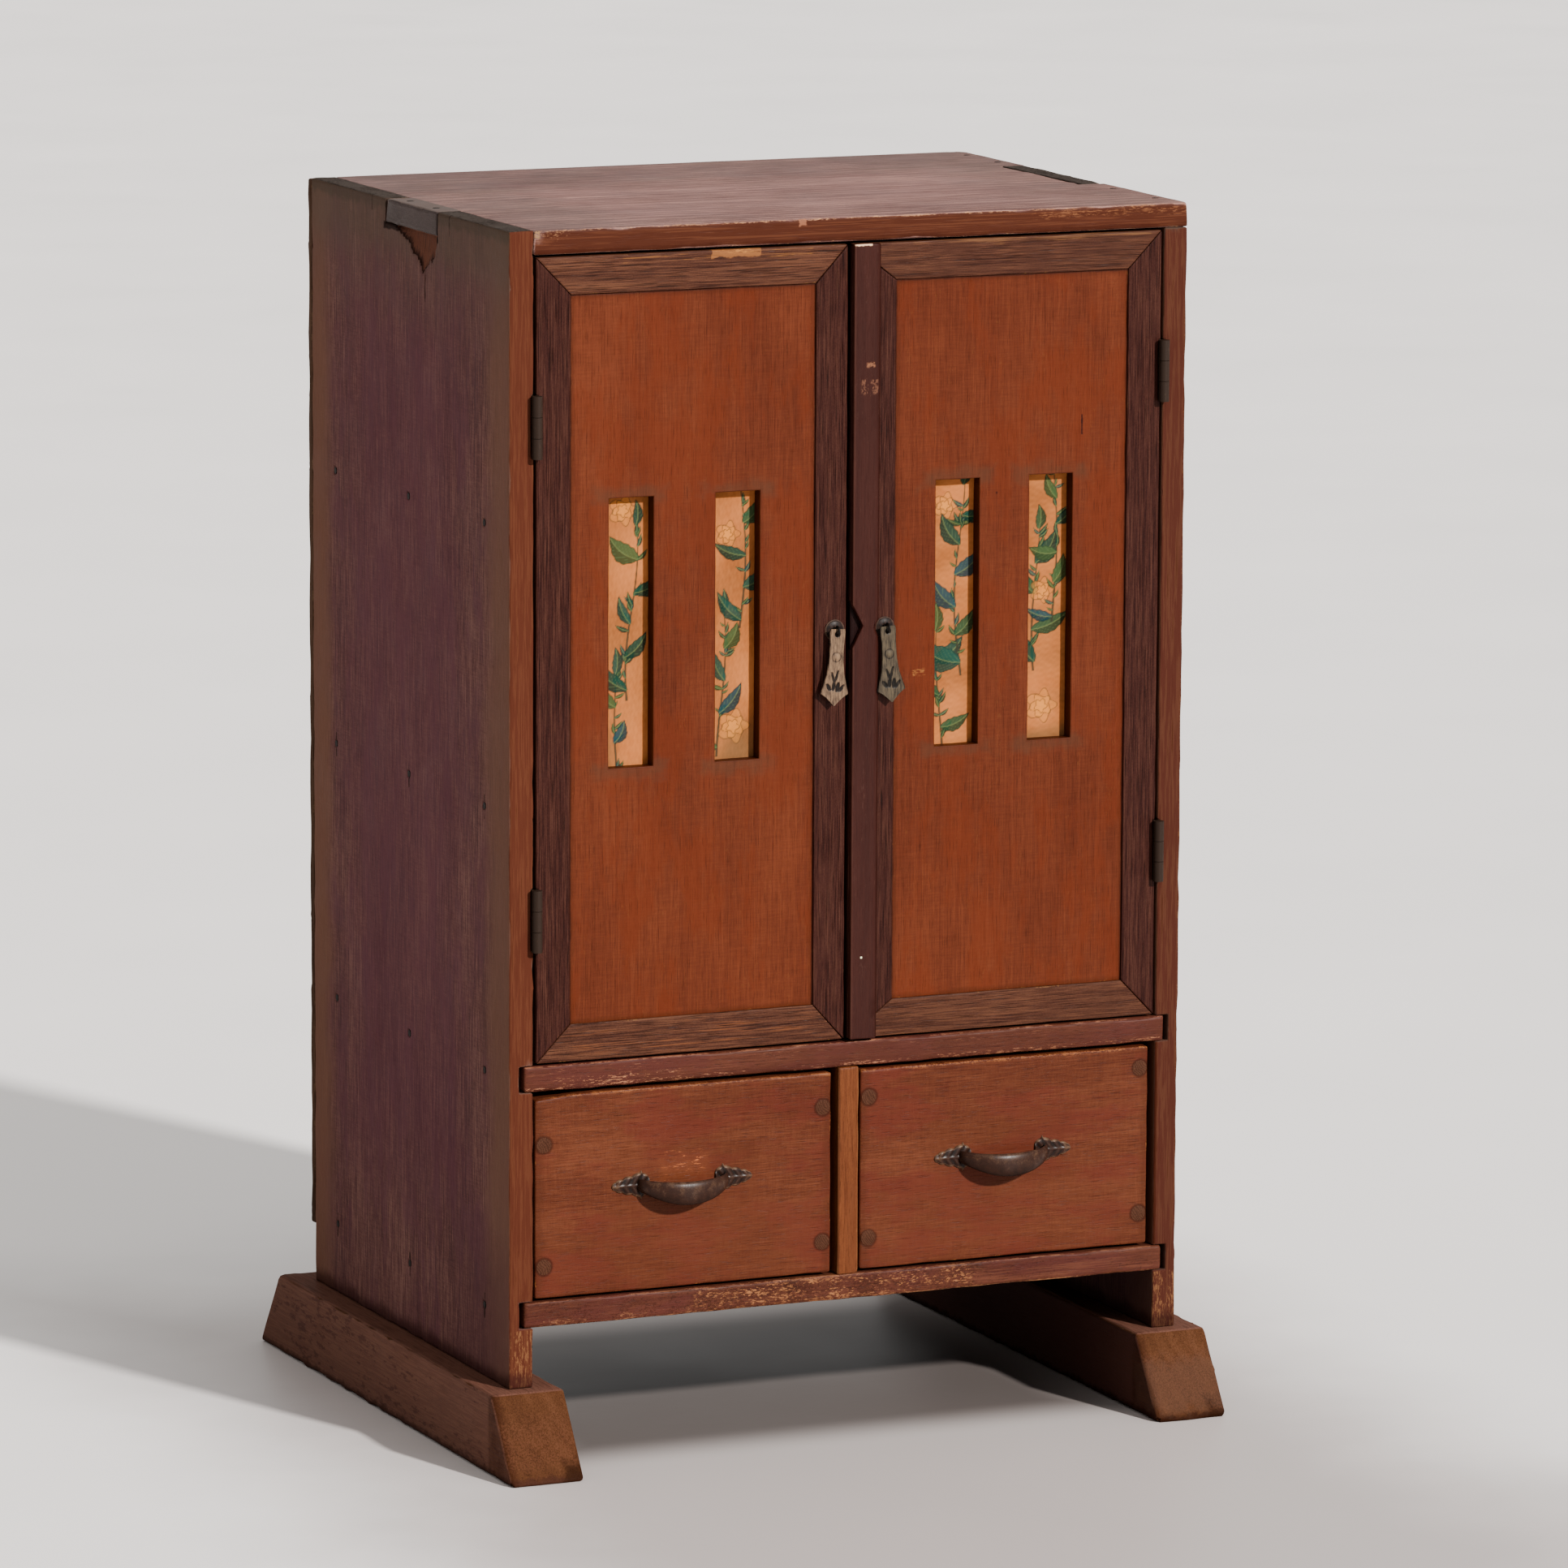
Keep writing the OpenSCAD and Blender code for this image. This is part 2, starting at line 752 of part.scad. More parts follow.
module hinge_stile(w, meet_w, hinges) {
    color("#4b2a24")
        difference() {
            frame_slab([[0, 0], [hinge_stile_w, rail_w], [hinge_stile_w, door_h - rail_w],
                        [0, door_h]]);
            panel_groove(w, meet_w);
            all_tenons(w, meet_w);
            at_hinges(hinges) {
                leaf_recess(1);
                hinge_screws(1, fit_play);
            }
        }
}

module meeting_stile(w, meet_w, drop_in) {
    color("#4b2a24")
        difference() {
            frame_slab([[w, 0], [w, door_h], [w - meet_w, door_h - rail_w],
                        [w - meet_w, rail_w]]);
            panel_groove(w, meet_w);
            all_tenons(w, meet_w);
            translate([w - drop_in, 0, drop_up]) ring_shank(fit_play);
        }
}

module rail(w, meet_w, upper) {
    edge = upper ? door_h : 0;
    inner = upper ? door_h - rail_w : rail_w;
    color("#5a3428")
        difference() {
            union() {
                frame_slab([[0, edge], [w, edge], [w - meet_w, inner], [hinge_stile_w, inner]]);
                rail_tenon(w, meet_w, upper ? door_h - rail_w : 0);
            }
            panel_groove(w, meet_w);
        }
}

module panel(w, meet_w, slots) {
    pw = w - hinge_stile_w - meet_w;
    ph = door_h - 2 * rail_w;
    color("#a5562c")
        difference() {
            union() {
                translate([hinge_stile_w + panel_gap, panel_set, rail_w + panel_gap])
                    cube([pw - 2 * panel_gap, panel_t, ph - 2 * panel_gap]);
                translate([hinge_stile_w - tongue_w, tongue_y, rail_w - tongue_w])
                    cube([pw + 2 * tongue_w, tongue_t, ph + 2 * tongue_w]);
            }
            for (x = slots)
                translate([x - slot_w / 2, panel_set - past, slot_up])
                    cube([slot_w, panel_t + 2 * past, slot_h]);
        }
}

// A sheet behind both slots
module slot_sheet(slots, y, t) {
    reach = slot_w / 2 + print_margin;
    translate([slots[0] - reach, y, slot_up - print_margin])
        cube([slots[1] - slots[0] + 2 * reach, t, slot_h + 2 * print_margin]);
}

module print_sheet(slots) {
    color("#e2b78f") slot_sheet(slots, print_y, print_t);
}

module backing(slots) {
    color("#8d6b4a") slot_sheet(slots, print_y + print_t, backing_t);
}

module strip(w) {
    color("#4b2a24")
        difference() {
            linear_extrude(height = door_h)
                polygon([[w, 0], [w, -strip_proud], [w - strip_w + strip_bevel, -strip_proud],
                         [w - strip_w, strip_bevel - strip_proud], [w - strip_w, 0]]);
            translate([w, past, drop_up + notch_up])
                rotate([90, 0, 0])
                    linear_extrude(height = strip_proud + 2 * past)
                        polygon([[0, -notch_h / 2], [0, notch_h / 2], [-notch_d, 0]]);
            translate([w - right_drop_in, past, drop_up])
                rotate([90, 0, 0])
                    cylinder(h = strip_proud + 2 * past, r = rosette_r + rosette_play);
        }
}

// Hanging pulls, round the middle of the rosette on the face of the door

module ring_shank(play = 0) {
    rotate([-90, 0, 0])
        translate([0, 0, ring_r - ring_out])
            cylinder(h = ring_out - ring_r + shank_l + play, r = shank_r + play);
}

module ring() {
    color("#57503f")
        union() {
            translate([0, -ring_out, 0])
                rotate([0, 90, 0])
                    rotate_extrude() translate([ring_r, 0]) circle(r = wire_r);
            ring_shank();
        }
}

module rosette() {
    bore = shank_r + fit_play;
    profile = [[bore, 0], [rosette_r, 0], [rosette_r, rosette_rim],
               [rosette_r * 0.85, rosette_rim + 0.6 * (rosette_h - rosette_rim)],
               [rosette_r * 0.45, rosette_h], [bore, rosette_h]];
    color("#4c4438") rotate([90, 0, 0]) rotate_extrude() polygon(profile);
}

// The right half of the plate's outline: notched top, narrow neck, wide leaf, point
module drop_plate() {
    top = plate_top_w / 2;
    wide = plate_w / 2;
    half = [[top * 0.3, -plate_l * 0.01], [top * 0.45, plate_l * 0.02],
            [top * 0.92, plate_l * 0.026], [top, -plate_l * 0.02],
            [top * 0.9, -plate_l * 0.2], [top * 0.94, -plate_l * 0.42],
            [top * 1.13, -plate_l * 0.58], [wide * 0.86, -plate_l * 0.74],
            [wide, -plate_l * 0.84], [wide * 0.65, -plate_l * 0.885],
            [wide * 0.4, -plate_l * 0.93], [0, -plate_l]];
    outline = concat(half, [for (i = [len(half) - 2:-1:0]) [-half[i][0], half[i][1]]]);
    color("#b79a6b")
        difference() {
            translate([0, plate_t / 2 - ring_out, 0])
                rotate([90, 0, 0])
                    linear_extrude(height = plate_t) polygon(outline);
            translate([0, -ring_out - plate_t, -ring_r])
                rotate([-90, 0, 0])
                    cylinder(h = 2 * plate_t, r = wire_r + ring_play);
        }
}

module left_pull() { left_door() translate([left_door_w - left_drop_in, 0, drop_up]) children(); }
module right_pull() {
    right_door() translate([right_door_w - right_drop_in, 0, drop_up]) children();
}

module left_hinge_stile() {
    left_door() hinge_stile(left_door_w, left_meet_w, left_hinges);
}
module left_meeting_stile() {
    left_door() meeting_stile(left_door_w, left_meet_w, left_drop_in);
}
module left_top_rail() { left_door() rail(left_door_w, left_meet_w, true); }
module left_bottom_rail() { left_door() rail(left_door_w, left_meet_w, false); }
module left_panel() { left_door() panel(left_door_w, left_meet_w, left_slots); }
module left_print() { left_door() print_sheet(left_slots); }
module left_backing() { left_door() backing(left_slots); }
module left_door_leaves() { left_door() at_hinges(left_hinges) hinge_leaf(1); }
module left_leaf_screws() {
    color("#8a7a5c") left_door() at_hinges(left_hinges) hinge_screws(1);
}
module left_rosette() { left_pull() rosette(); }
module left_ring() { left_pull() ring(); }
module left_drop_plate() { left_pull() rotate([0, left_lean, 0]) drop_plate(); }

module right_hinge_stile() {
    right_door() hinge_stile(right_door_w, right_meet_w, right_hinges);
}
module right_meeting_stile() {
    right_door() meeting_stile(right_door_w, right_meet_w, right_drop_in);
}
module right_top_rail() { right_door() rail(right_door_w, right_meet_w, true); }
module right_bottom_rail() { right_door() rail(right_door_w, right_meet_w, false); }
module right_panel() { right_door() panel(right_door_w, right_meet_w, right_slots); }
module right_print() { right_door() print_sheet(right_slots); }
module right_backing() { right_door() backing(right_slots); }
module right_door_leaves() { right_door() at_hinges(right_hinges) hinge_leaf(1); }
module right_leaf_screws() {
    color("#8a7a5c") right_door() at_hinges(right_hinges) hinge_screws(1);
}
module right_rosette() { right_pull() rosette(); }
module right_ring() { right_pull() ring(); }
module right_drop_plate() { right_pull() rotate([0, -right_lean, 0]) drop_plate(); }
module meeting_strip() { right_door() strip(right_door_w); }

// Parts of a drawer, with its left end at x = 0 and the floor of its bay at z = 0

module left_drawer() {
    in_case() translate([play_left - inner_x, 0, bay_z]) children();
}
module right_drawer() {
    in_case() translate([divider_t / 2 + play_left, 0, bay_z]) children();
}

module at_plugs(high) {
    for (k = [0, 1], low = [true, false])
        translate([k == 0 ? plug_in : drawer_w - plug_in, 0,
                   front_under + (low ? plug_low : front_h - high[k])])
            children();
}

module front_nails(high, play = 0) {
    at_plugs(high) translate([0, plug_d, 0]) to_rear() nail(front_t - plug_d + drawer_bite, play);
}

module rear_nails(play = 0) {
    for (z = [rear_nail_low, wall_h - rear_nail_high])
        translate([0, drawer_l - rear_t / 2, run_gap + z]) {
            to_right() nail(wall_t + drawer_bite, play);
            translate([drawer_w, 0, 0]) to_left() nail(wall_t + drawer_bite, play);
        }
}

module floor_slab(play = 0) {
    translate([wall_t - floor_groove - play, front_t - floor_groove - play,
               run_gap + floor_up - play / 2])
        cube([drawer_w - 2 * wall_t + 2 * floor_groove + 2 * play,
              wall_l + floor_groove + play + (play > 0 ? past : 0), floor_t + play]);
}

module pull_place() {
    translate([drawer_w / 2 - pull_shift, 0, front_under + front_h / 2 + pull_rise]) children();
}

module pull_studs(play = 0) {
    for (k = [-1, 1])
        translate([k * (grip_span / 2 + stud_out), -leaf_plate_t / 2, 0])
            rotate([-90, 0, 0])
                cylinder(h = stud_l + leaf_plate_t / 2 + play, r = stud_r + play);
}

module drawer_front(high) {
    color("#98482a")
        difference() {
            translate([0, 0, front_under]) cube([drawer_w, front_t, front_h]);
            at_plugs(high)
                rotate([90, 0, 0])
                    translate([0, 0, -plug_d]) cylinder(h = plug_d + past, r = plug_r + fit_play);
            front_nails(high, fit_play);
            floor_slab(floor_play);
            pull_place() pull_studs(fit_play);
        }
}

module drawer_wall(x, high) {
    color("#a57a4e")
        difference() {
            translate([x, front_t, run_gap]) cube([wall_t, wall_l, wall_h]);
            floor_slab(floor_play);
            front_nails(high, fit_play);
            rear_nails(fit_play);
        }
}

module drawer_rear() {
    z = run_gap + floor_up + floor_t + floor_play;
    color("#a57a4e")
        difference() {
            translate([wall_t, drawer_l - rear_t, z])
                cube([drawer_w - 2 * wall_t, rear_t, run_gap + wall_h - rear_step - z]);
            rear_nails(fit_play);
        }
}

module drawer_floor() { color("#b08a5c") floor_slab(); }

module plugs(high) {
    color("#4a2c20")
        at_plugs(high)
            rotate([-90, 0, 0]) cylinder(h = plug_d, r = plug_r);
}

module drawer_nails(high) {
    color("#3b332e") {
        front_nails(high);
        rear_nails();
    }
}

// Points of the grip: each ring is an ellipse across the bow
function bow(t) = [-grip_span / 2 * cos(t), -leaf_plate_t / 2 - grip_out * sin(t),
    -grip_sag * pow(sin(t), 2)];
function bow_side(t) = let (d = [grip_span / 2 * sin(t), -grip_out * cos(t)])
    [d[1], -d[0], 0] / norm(d);
function bow_h(t) = grip_end_h + (grip_mid_h - grip_end_h) * pow(sin(t), 2);
function bow_ring(t) = [for (k = [0:grip_sides - 1])
    let (a = 360 * k / grip_sides)
    bow(t) + bow_side(t) * grip_t / 2 * cos(a) + [0, 0, bow_h(t) / 2 * sin(a)]];

module grip() {
    points = [for (i = [0:grip_rings]) each bow_ring(180 * i / grip_rings)];
    last = grip_rings * grip_sides;
    walls = [for (i = [0:grip_rings - 1], k = [0:grip_sides - 1])
        let (a = i * grip_sides + k, b = i * grip_sides + (k + 1) % grip_sides)
        each [[a, b, b + grip_sides], [a, b + grip_sides, a + grip_sides]]];
    caps = [for (k = [1:grip_sides - 2])
        each [[0, k + 1, k], [last, last + k, last + k + 1]]];
    polyhedron(points, concat(walls, caps));
}

// One leaf of a pull, with its root at the grip and its tip outward along +X
module pull_leaf() {
    reach = (pull_w - grip_span) / 2;
    circle(r = root_lobe_r);
    translate([reach * 0.36, 0]) circle(r = lobe_r);
    translate([reach * 0.66, 0]) circle(r = outer_lobe_r);
    translate([reach - leaf_tip_r, 0]) circle(r = leaf_tip_r);
    for (k = [-1, 1])
        translate([-leaflet_side / 3, k * root_lobe_r * 0.8])
            rotate(45) square(leaflet_side, center = true);
}

module drawer_pull() {
    color("#453a33")
        pull_place() {
            union() {
                grip();
                for (k = [0, 1])
                    mirror([k, 0, 0])
                        translate([grip_span / 2, 0, 0])
                            rotate([90, 0, 0])
                                linear_extrude(height = leaf_plate_t) pull_leaf();
                pull_studs();
            }
        }
}

module left_drawer_front() { left_drawer() drawer_front(left_plug_high); }
module left_drawer_left_wall() { left_drawer() drawer_wall(0, left_plug_high); }
module left_drawer_right_wall() {
    left_drawer() drawer_wall(drawer_w - wall_t, left_plug_high);
}
module left_drawer_rear() { left_drawer() drawer_rear(); }
module left_drawer_floor() { left_drawer() drawer_floor(); }
module left_drawer_pull() { left_drawer() drawer_pull(); }
module left_drawer_plugs() { left_drawer() plugs(left_plug_high); }
module left_drawer_nails() { left_drawer() drawer_nails(left_plug_high); }

module right_drawer_front() { right_drawer() drawer_front(right_plug_high); }
module right_drawer_left_wall() { right_drawer() drawer_wall(0, right_plug_high); }
module right_drawer_right_wall() {
    right_drawer() drawer_wall(drawer_w - wall_t, right_plug_high);
}
module right_drawer_rear() { right_drawer() drawer_rear(); }
module right_drawer_floor() { right_drawer() drawer_floor(); }
module right_drawer_pull() { right_drawer() drawer_pull(); }
module right_drawer_plugs() { right_drawer() plugs(right_plug_high); }
module right_drawer_nails() { right_drawer() drawer_nails(right_plug_high); }

left_side();
right_side();
top_board();
middle_shelf();
bottom_board();
drawer_divider();
lower_inner_shelf();
upper_inner_shelf();
back_panel();
left_foot();
right_foot();
shelf_nails();
top_nails();
back_nails();
foot_screws();
case_hinge_leaves();
case_hinge_screws();
hinge_pins();
left_hinge_stile();
left_meeting_stile();
left_top_rail();
left_bottom_rail();
left_panel();
left_print();
left_backing();
left_door_leaves();
left_leaf_screws();
left_rosette();
left_ring();
left_drop_plate();
right_hinge_stile();
right_meeting_stile();
right_top_rail();
right_bottom_rail();
right_panel();
right_print();
right_backing();
right_door_leaves();
right_leaf_screws();
right_rosette();
right_ring();
right_drop_plate();
meeting_strip();
left_drawer_front();
left_drawer_left_wall();
left_drawer_right_wall();
left_drawer_rear();
left_drawer_floor();
left_drawer_pull();
left_drawer_plugs();
left_drawer_nails();
right_drawer_front();
right_drawer_left_wall();
right_drawer_right_wall();
right_drawer_rear();
right_drawer_floor();
right_drawer_pull();
right_drawer_plugs();
right_drawer_nails();
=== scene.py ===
"""Looks of a worn, stained cupboard with two hinged doors over two drawers.

All sizes are in millimetres in the CAD's frame, with the front towards -Y, until a mesh is made of them.
"""

import logging
import math
from dataclasses import dataclass, field, replace
from enum import Enum
from typing import Callable, Sequence

import bpy
import numpy as np
from mathutils import Matrix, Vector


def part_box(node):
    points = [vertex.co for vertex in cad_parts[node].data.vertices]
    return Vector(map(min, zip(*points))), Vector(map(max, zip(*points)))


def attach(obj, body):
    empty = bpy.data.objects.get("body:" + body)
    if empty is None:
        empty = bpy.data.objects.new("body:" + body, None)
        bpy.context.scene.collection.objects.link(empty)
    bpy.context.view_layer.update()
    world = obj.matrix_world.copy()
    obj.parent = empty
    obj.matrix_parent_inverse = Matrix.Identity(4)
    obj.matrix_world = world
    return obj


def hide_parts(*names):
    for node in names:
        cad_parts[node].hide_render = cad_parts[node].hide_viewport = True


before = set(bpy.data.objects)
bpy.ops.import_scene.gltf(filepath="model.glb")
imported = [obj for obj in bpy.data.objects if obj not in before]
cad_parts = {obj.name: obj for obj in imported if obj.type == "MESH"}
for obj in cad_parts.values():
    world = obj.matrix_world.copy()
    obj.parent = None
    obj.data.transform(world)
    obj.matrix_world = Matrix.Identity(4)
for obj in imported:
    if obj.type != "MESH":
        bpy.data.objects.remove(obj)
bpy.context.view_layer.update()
LOG = logging.getLogger("cupboard")
MM = 0.001
FRONT_Y = -171.0
Colour = tuple[float, float, float]
Span = tuple[float, float]


class Axis(Enum):
    """The direction along which a board's fibres run."""

    X = 0
    Y = 1
    Z = 2


# Grey levels on the screen as shares of light, and the scene brightness that the standard view
# shows as each of them.
SHOWN = (0.00001, 0.00248, 0.00607, 0.01395, 0.02736, 0.04135, 0.09455, 0.17979, 0.28516, 0.40198, 0.50864,
         0.59656, 0.69934, 0.77003, 0.85387)
BRIGHTNESS = (0.0003, 0.005, 0.01, 0.02, 0.035, 0.05, 0.1, 0.18, 0.3, 0.5, 0.8, 1.2, 2.0, 3.0, 5.0)
# How that view mixes the three channels, before and after its curve.
FIRST_MIX = np.array([[0.608, 0.289, 0.103], [-0.058, 1.474, -0.416], [0.081, 0.261, 0.657]])
LAST_MIX = np.array([[1.754, -0.298, -0.456], [-0.01, 0.707, 0.303], [-0.214, -0.212, 1.426]])


class Light(Enum):
    """Light on a surface: the brightness that a white one has there, and the sheen on top of it."""

    FRONT = (3.4, 0.011)
    TOP = (1.98, 0.012)
    SHADE = (1.18, 0.005)
    METAL = (3.4, 0.0)
    SIDE = (2.0, 0.005)


def tone(code: str, light: Light = Light.FRONT) -> Colour:
    """Works out a base colour from the colour that it has on the screen.

    The screen colour is turned into shares of light, which are mixed, turned into brightness by
    the curve and mixed again. The sheen is taken off, and the rest is divided by the light.

    Args:
        code: screen colour, such as "8a4a28".
        light: the light in which it looks so.

    Returns:
        Red, green and blue.
    """
    screen = np.array([int(code[i : i + 2], 16) for i in (0, 2, 4)]) / 255
    share = np.where(screen < 0.04045, screen / 12.92, ((screen + 0.055) / 1.055) ** 2.4)
    mixed = np.log(np.clip(FIRST_MIX @ share, 1e-5, None))
    full, sheen = light.value
    base = (LAST_MIX @ np.exp(np.interp(mixed, np.log(SHOWN), np.log(BRIGHTNESS))) - sheen) / full
    return tuple(float(v) for v in np.clip(base, 0.0008, 0.9))


# ---- shapes


@dataclass
class Shape:
    """A closed surface: its points in mm, its faces, and named values for its points."""

    points: np.ndarray
    faces: list[tuple[int, ...]]
    values: dict[str, np.ndarray] = field(default_factory=dict)

    @staticmethod
    def join(parts: Sequence["Shape"]) -> "Shape":
        """Puts several surfaces into one mesh.

        Args:
            parts: surfaces that carry the same named values.

        Returns:
            One surface with the points and faces of all.
        """
        starts = np.cumsum([0] + [len(p.points) for p in parts])
        faces = [tuple(int(i + s) for i in f) for p, s in zip(parts, starts) for f in p.faces]
        names = parts[0].values.keys()
        values = {n: np.concatenate([p.values[n] for p in parts]) for n in names}
        return Shape(np.concatenate([p.points for p in parts]), faces, values)

    def moved(self, x: float, y: float, z: float) -> "Shape":
        """Returns the surface carried by (x, y, z)."""
        return Shape(self.points + np.array([x, y, z]), self.faces, self.values)

    def mirrored(self) -> "Shape":
        """Returns the surface mirrored in X, with its faces still pointing outwards."""
        faces = [f[::-1] for f in self.faces]
        return Shape(self.points * np.array([-1.0, 1.0, 1.0]), faces, self.values)


def ripple(points: np.ndarray, pitch: float, seed: int) -> np.ndarray:
    """A smooth uneven value at each point, from 0 to 1.

    It is the mean of six sine waves in random directions, whose wavelengths lie round the pitch.

    Args:
        points: places in mm.
        pitch: usual distance between two crests, in mm.
        seed: picks the directions and phases.

    Returns:
        One value for each point.
    """
    rng = np.random.default_rng(seed)
    ways = rng.normal(size=(6, 3))
    ways *= (2 * np.pi / pitch) * rng.uniform(0.6, 1.7, 6)[:, None] / np.linalg.norm(ways, axis=1)[:, None]
    waves = np.sin(points @ ways.T + rng.uniform(0, 2 * np.pi, 6))
    return np.clip(0.5 + waves.mean(1) * 0.9, 0, 1)


def ease(value: np.ndarray, low: float, high: float) -> np.ndarray:
    """Rises smoothly from 0 at low to 1 at high: three times t squared less two times t cubed."""
    t = np.clip((value - low) / (high - low), 0, 1)
    return t * t * (3 - 2 * t)


@dataclass(frozen=True)
class Dent:
    """A round hollow in one face of a board.

    Its depth is full up to nine tenths of its radius and eases to nothing at eleven tenths.
    """

    centre: tuple[float, float, float]
    radius: float
    depth: float
    axis: int
    inward: int


Box = tuple[tuple[float, float, float], tuple[float, float, float]]


@dataclass
class Block:
    """A board cut from a lattice of cells, so that it can have housings, notches and slots.

    Its surface is each lattice face between a filled cell and an empty one.
    """

    low: np.ndarray
    high: np.ndarray
    cuts: list[Box] = field(default_factory=list)
    dents: list[Dent] = field(default_factory=list)
    cell: float = 14.0
    rim: float = 2.6
    fine: list[tuple[int, float, float, float]] = field(default_factory=list)
    worn: float = 0.45
    seed: int = 1

    def lines(self, axis: int) -> np.ndarray:
        """Lattice lines on one axis: the ends, the edges of cuts, a rim, dents, then even steps.

        Args:
            axis: 0, 1 or 2.

        Returns:
            Rising places in mm.
        """
        a, b = self.low[axis], self.high[axis]
        hard = np.unique(np.clip([a, b] + [c[k][axis] for c in self.cuts for k in (0, 1)], a, b).round(3))
        soft = [a + self.rim, b - self.rim]
        for d in self.dents:
            if d.axis != axis:
                soft += [d.centre[axis] + k * d.radius for k in (-1.12, -0.9, -0.5, 0, 0.5, 0.9, 1.12)]
        for which, start, end, step in self.fine:
            if which == axis:
                soft += list(np.arange(start, end + step / 2, step))
        kept = list(hard)
        for s in soft:
            if a < s < b and min(abs(s - k) for k in kept) > 0.35:
                kept.append(s)
        stops = np.sort(np.array(kept))
        runs = [
            np.linspace(p, q, max(1, math.ceil((q - p) / self.cell)) + 1)[:-1]
            for p, q in zip(stops[:-1], stops[1:])
        ]
        return np.concatenate([*runs, [b]])

    def shape(self) -> Shape:
        """Works out the board's surface.

        Points on an arris move inwards by an uneven amount, so that the board looks handled, and
        points in a dent move in by its depth.

        Returns:
            The surface, with its faces pointing outwards.
        """
        grid = [self.lines(a) for a in range(3)]
        mids = [(g[1:] + g[:-1]) / 2 for g in grid]
        filled = np.ones([len(m) for m in mids], bool)
        for low, high in self.cuts:
            inside = [(m > low[a]) & (m < high[a]) for a, m in enumerate(mids)]
            filled[np.ix_(*inside)] = False
        counts = [len(g) for g in grid]
        padded = np.pad(filled, 1)
        quads, ways = [], []
        for axis in range(3):
            b, c = (axis + 1) % 3, (axis + 2) % 3
            first = np.moveaxis(padded, [axis, b, c], [0, 1, 2])[:, 1:-1, 1:-1]
            for sign, found in ((1, first[:-1] & ~first[1:]), (-1, ~first[:-1] & first[1:])):
                i, j, k = np.nonzero(found)
                corners = []
                for dj, dk in ((0, 0), (1, 0), (1, 1), (0, 1))[::sign]:
                    place = [None] * 3
                    place[axis], place[b], place[c] = i, j + dj, k + dk
                    corners.append(np.ravel_multi_index(place, counts))
                quads.append(np.stack(corners, 1))
                way = np.zeros((len(i), 3))
                way[:, axis] = sign
                ways.append(way)
        quads, ways = np.concatenate(quads), np.concatenate(ways)
        used, packed = np.unique(quads, return_inverse=True)
        quads = packed.reshape(quads.shape)
        index = np.unravel_index(used, counts)
        points = np.stack([grid[a][index[a]] for a in range(3)], 1)
        out = np.zeros_like(points)
        for corner in range(4):
            np.add.at(out, quads[:, corner], ways)
        out = np.sign(np.round(out, 3))
        arris = (np.abs(out).sum(1) > 1)[:, None]
        chips = ripple(points, 23, self.seed) ** 2 + 0.8 * ripple(points, 7, self.seed + 7) ** 4
        points = points - out * arris * (self.worn * chips)[:, None]
        for d in self.dents:
            away = [k for k in range(3) if k != d.axis]
            reach = np.hypot(*(points[:, k] - d.centre[k] for k in away))
            near = np.abs(points[:, d.axis] - d.centre[d.axis]) < 1.0
            points[:, d.axis] += near * d.inward * d.depth * (1 - ease(reach, 0.9 * d.radius, 1.1 * d.radius))
        return Shape(points, [tuple(q) for q in quads.tolist()])


def loft(rings: np.ndarray, values: np.ndarray | None = None) -> Shape:
    """Skins a row of rings into a closed surface, with a fan about the middle of each end ring.

    Args:
        rings: an array of rings by points by 3, each ring anticlockwise seen from the end.
        values: a value for each ring and point, kept under the name "ridge".

    Returns:
        The surface.
    """
    count, sides = rings.shape[:2]
    marks = np.full(rings.shape[:2], 0.5) if values is None else values
    i = np.arange(count - 1)[:, None]
    j = np.arange(sides)[None, :]
    quads = np.stack(np.broadcast_arrays(i * sides + j, i * sides + (j + 1) % sides,
                                         (i + 1) * sides + (j + 1) % sides, (i + 1) * sides + j), -1)
    faces = [tuple(q) for q in quads.reshape(-1, 4).tolist()]
    points = np.concatenate([rings.reshape(-1, 3), rings[[0, -1]].mean(1)])
    ridge = np.concatenate([marks.reshape(-1), marks[[0, -1]].mean(1)])
    low, high, last = count * sides, count * sides + 1, (count - 1) * sides
    for k in range(sides):
        n = (k + 1) % sides
        faces += [(low, n, k), (high, last + k, last + n)]
    return Shape(points, faces, {"ridge": ridge})


def pressed(x: np.ndarray, z: np.ndarray, front: np.ndarray, rear: float, ridge: np.ndarray,
            flip: bool = False) -> Shape:
    """A thin plate: rows of points with a worked front, closed by a flat rear.

    Args:
        x: place across of each row's points.
        z: their height.
        front: their place towards the rear.
        rear: place of the flat rear.
        ridge: ridge value of the front's points.
        flip: True where the rows follow each other the other way round.

    Returns:
        The closed surface.
    """
    way = -1 if flip else 1
    pairs = ((x, x[:, ::-1]), (front, np.full_like(x, rear)), (z, z[:, ::-1]), (ridge, np.full_like(x, 0.3)))
    *place, marks = (np.concatenate(pair, 1)[:, ::way] for pair in pairs)
    return loft(np.stack(place, -1), np.clip(marks, 0, 1))


def turned(profile: Sequence[tuple[float, float]], sides: int = 48) -> Shape:
    """A turned form about the Y axis.

    Args:
        profile: (radius, height towards -Y) from the rear up to the front, without its two poles.
        sides: points on each ring.

    Returns:
        The closed surface, with a ridge value of one half all over.
    """
    radius, height = np.array(profile).T
    a = np.linspace(0, 2 * np.pi, sides, endpoint=False)
    x = radius[:, None] * np.cos(a)
    z = radius[:, None] * np.sin(a)
    y = np.repeat(-height[:, None], sides, 1)
    return loft(np.stack([x, y, z], -1))


# ---- shader graphs


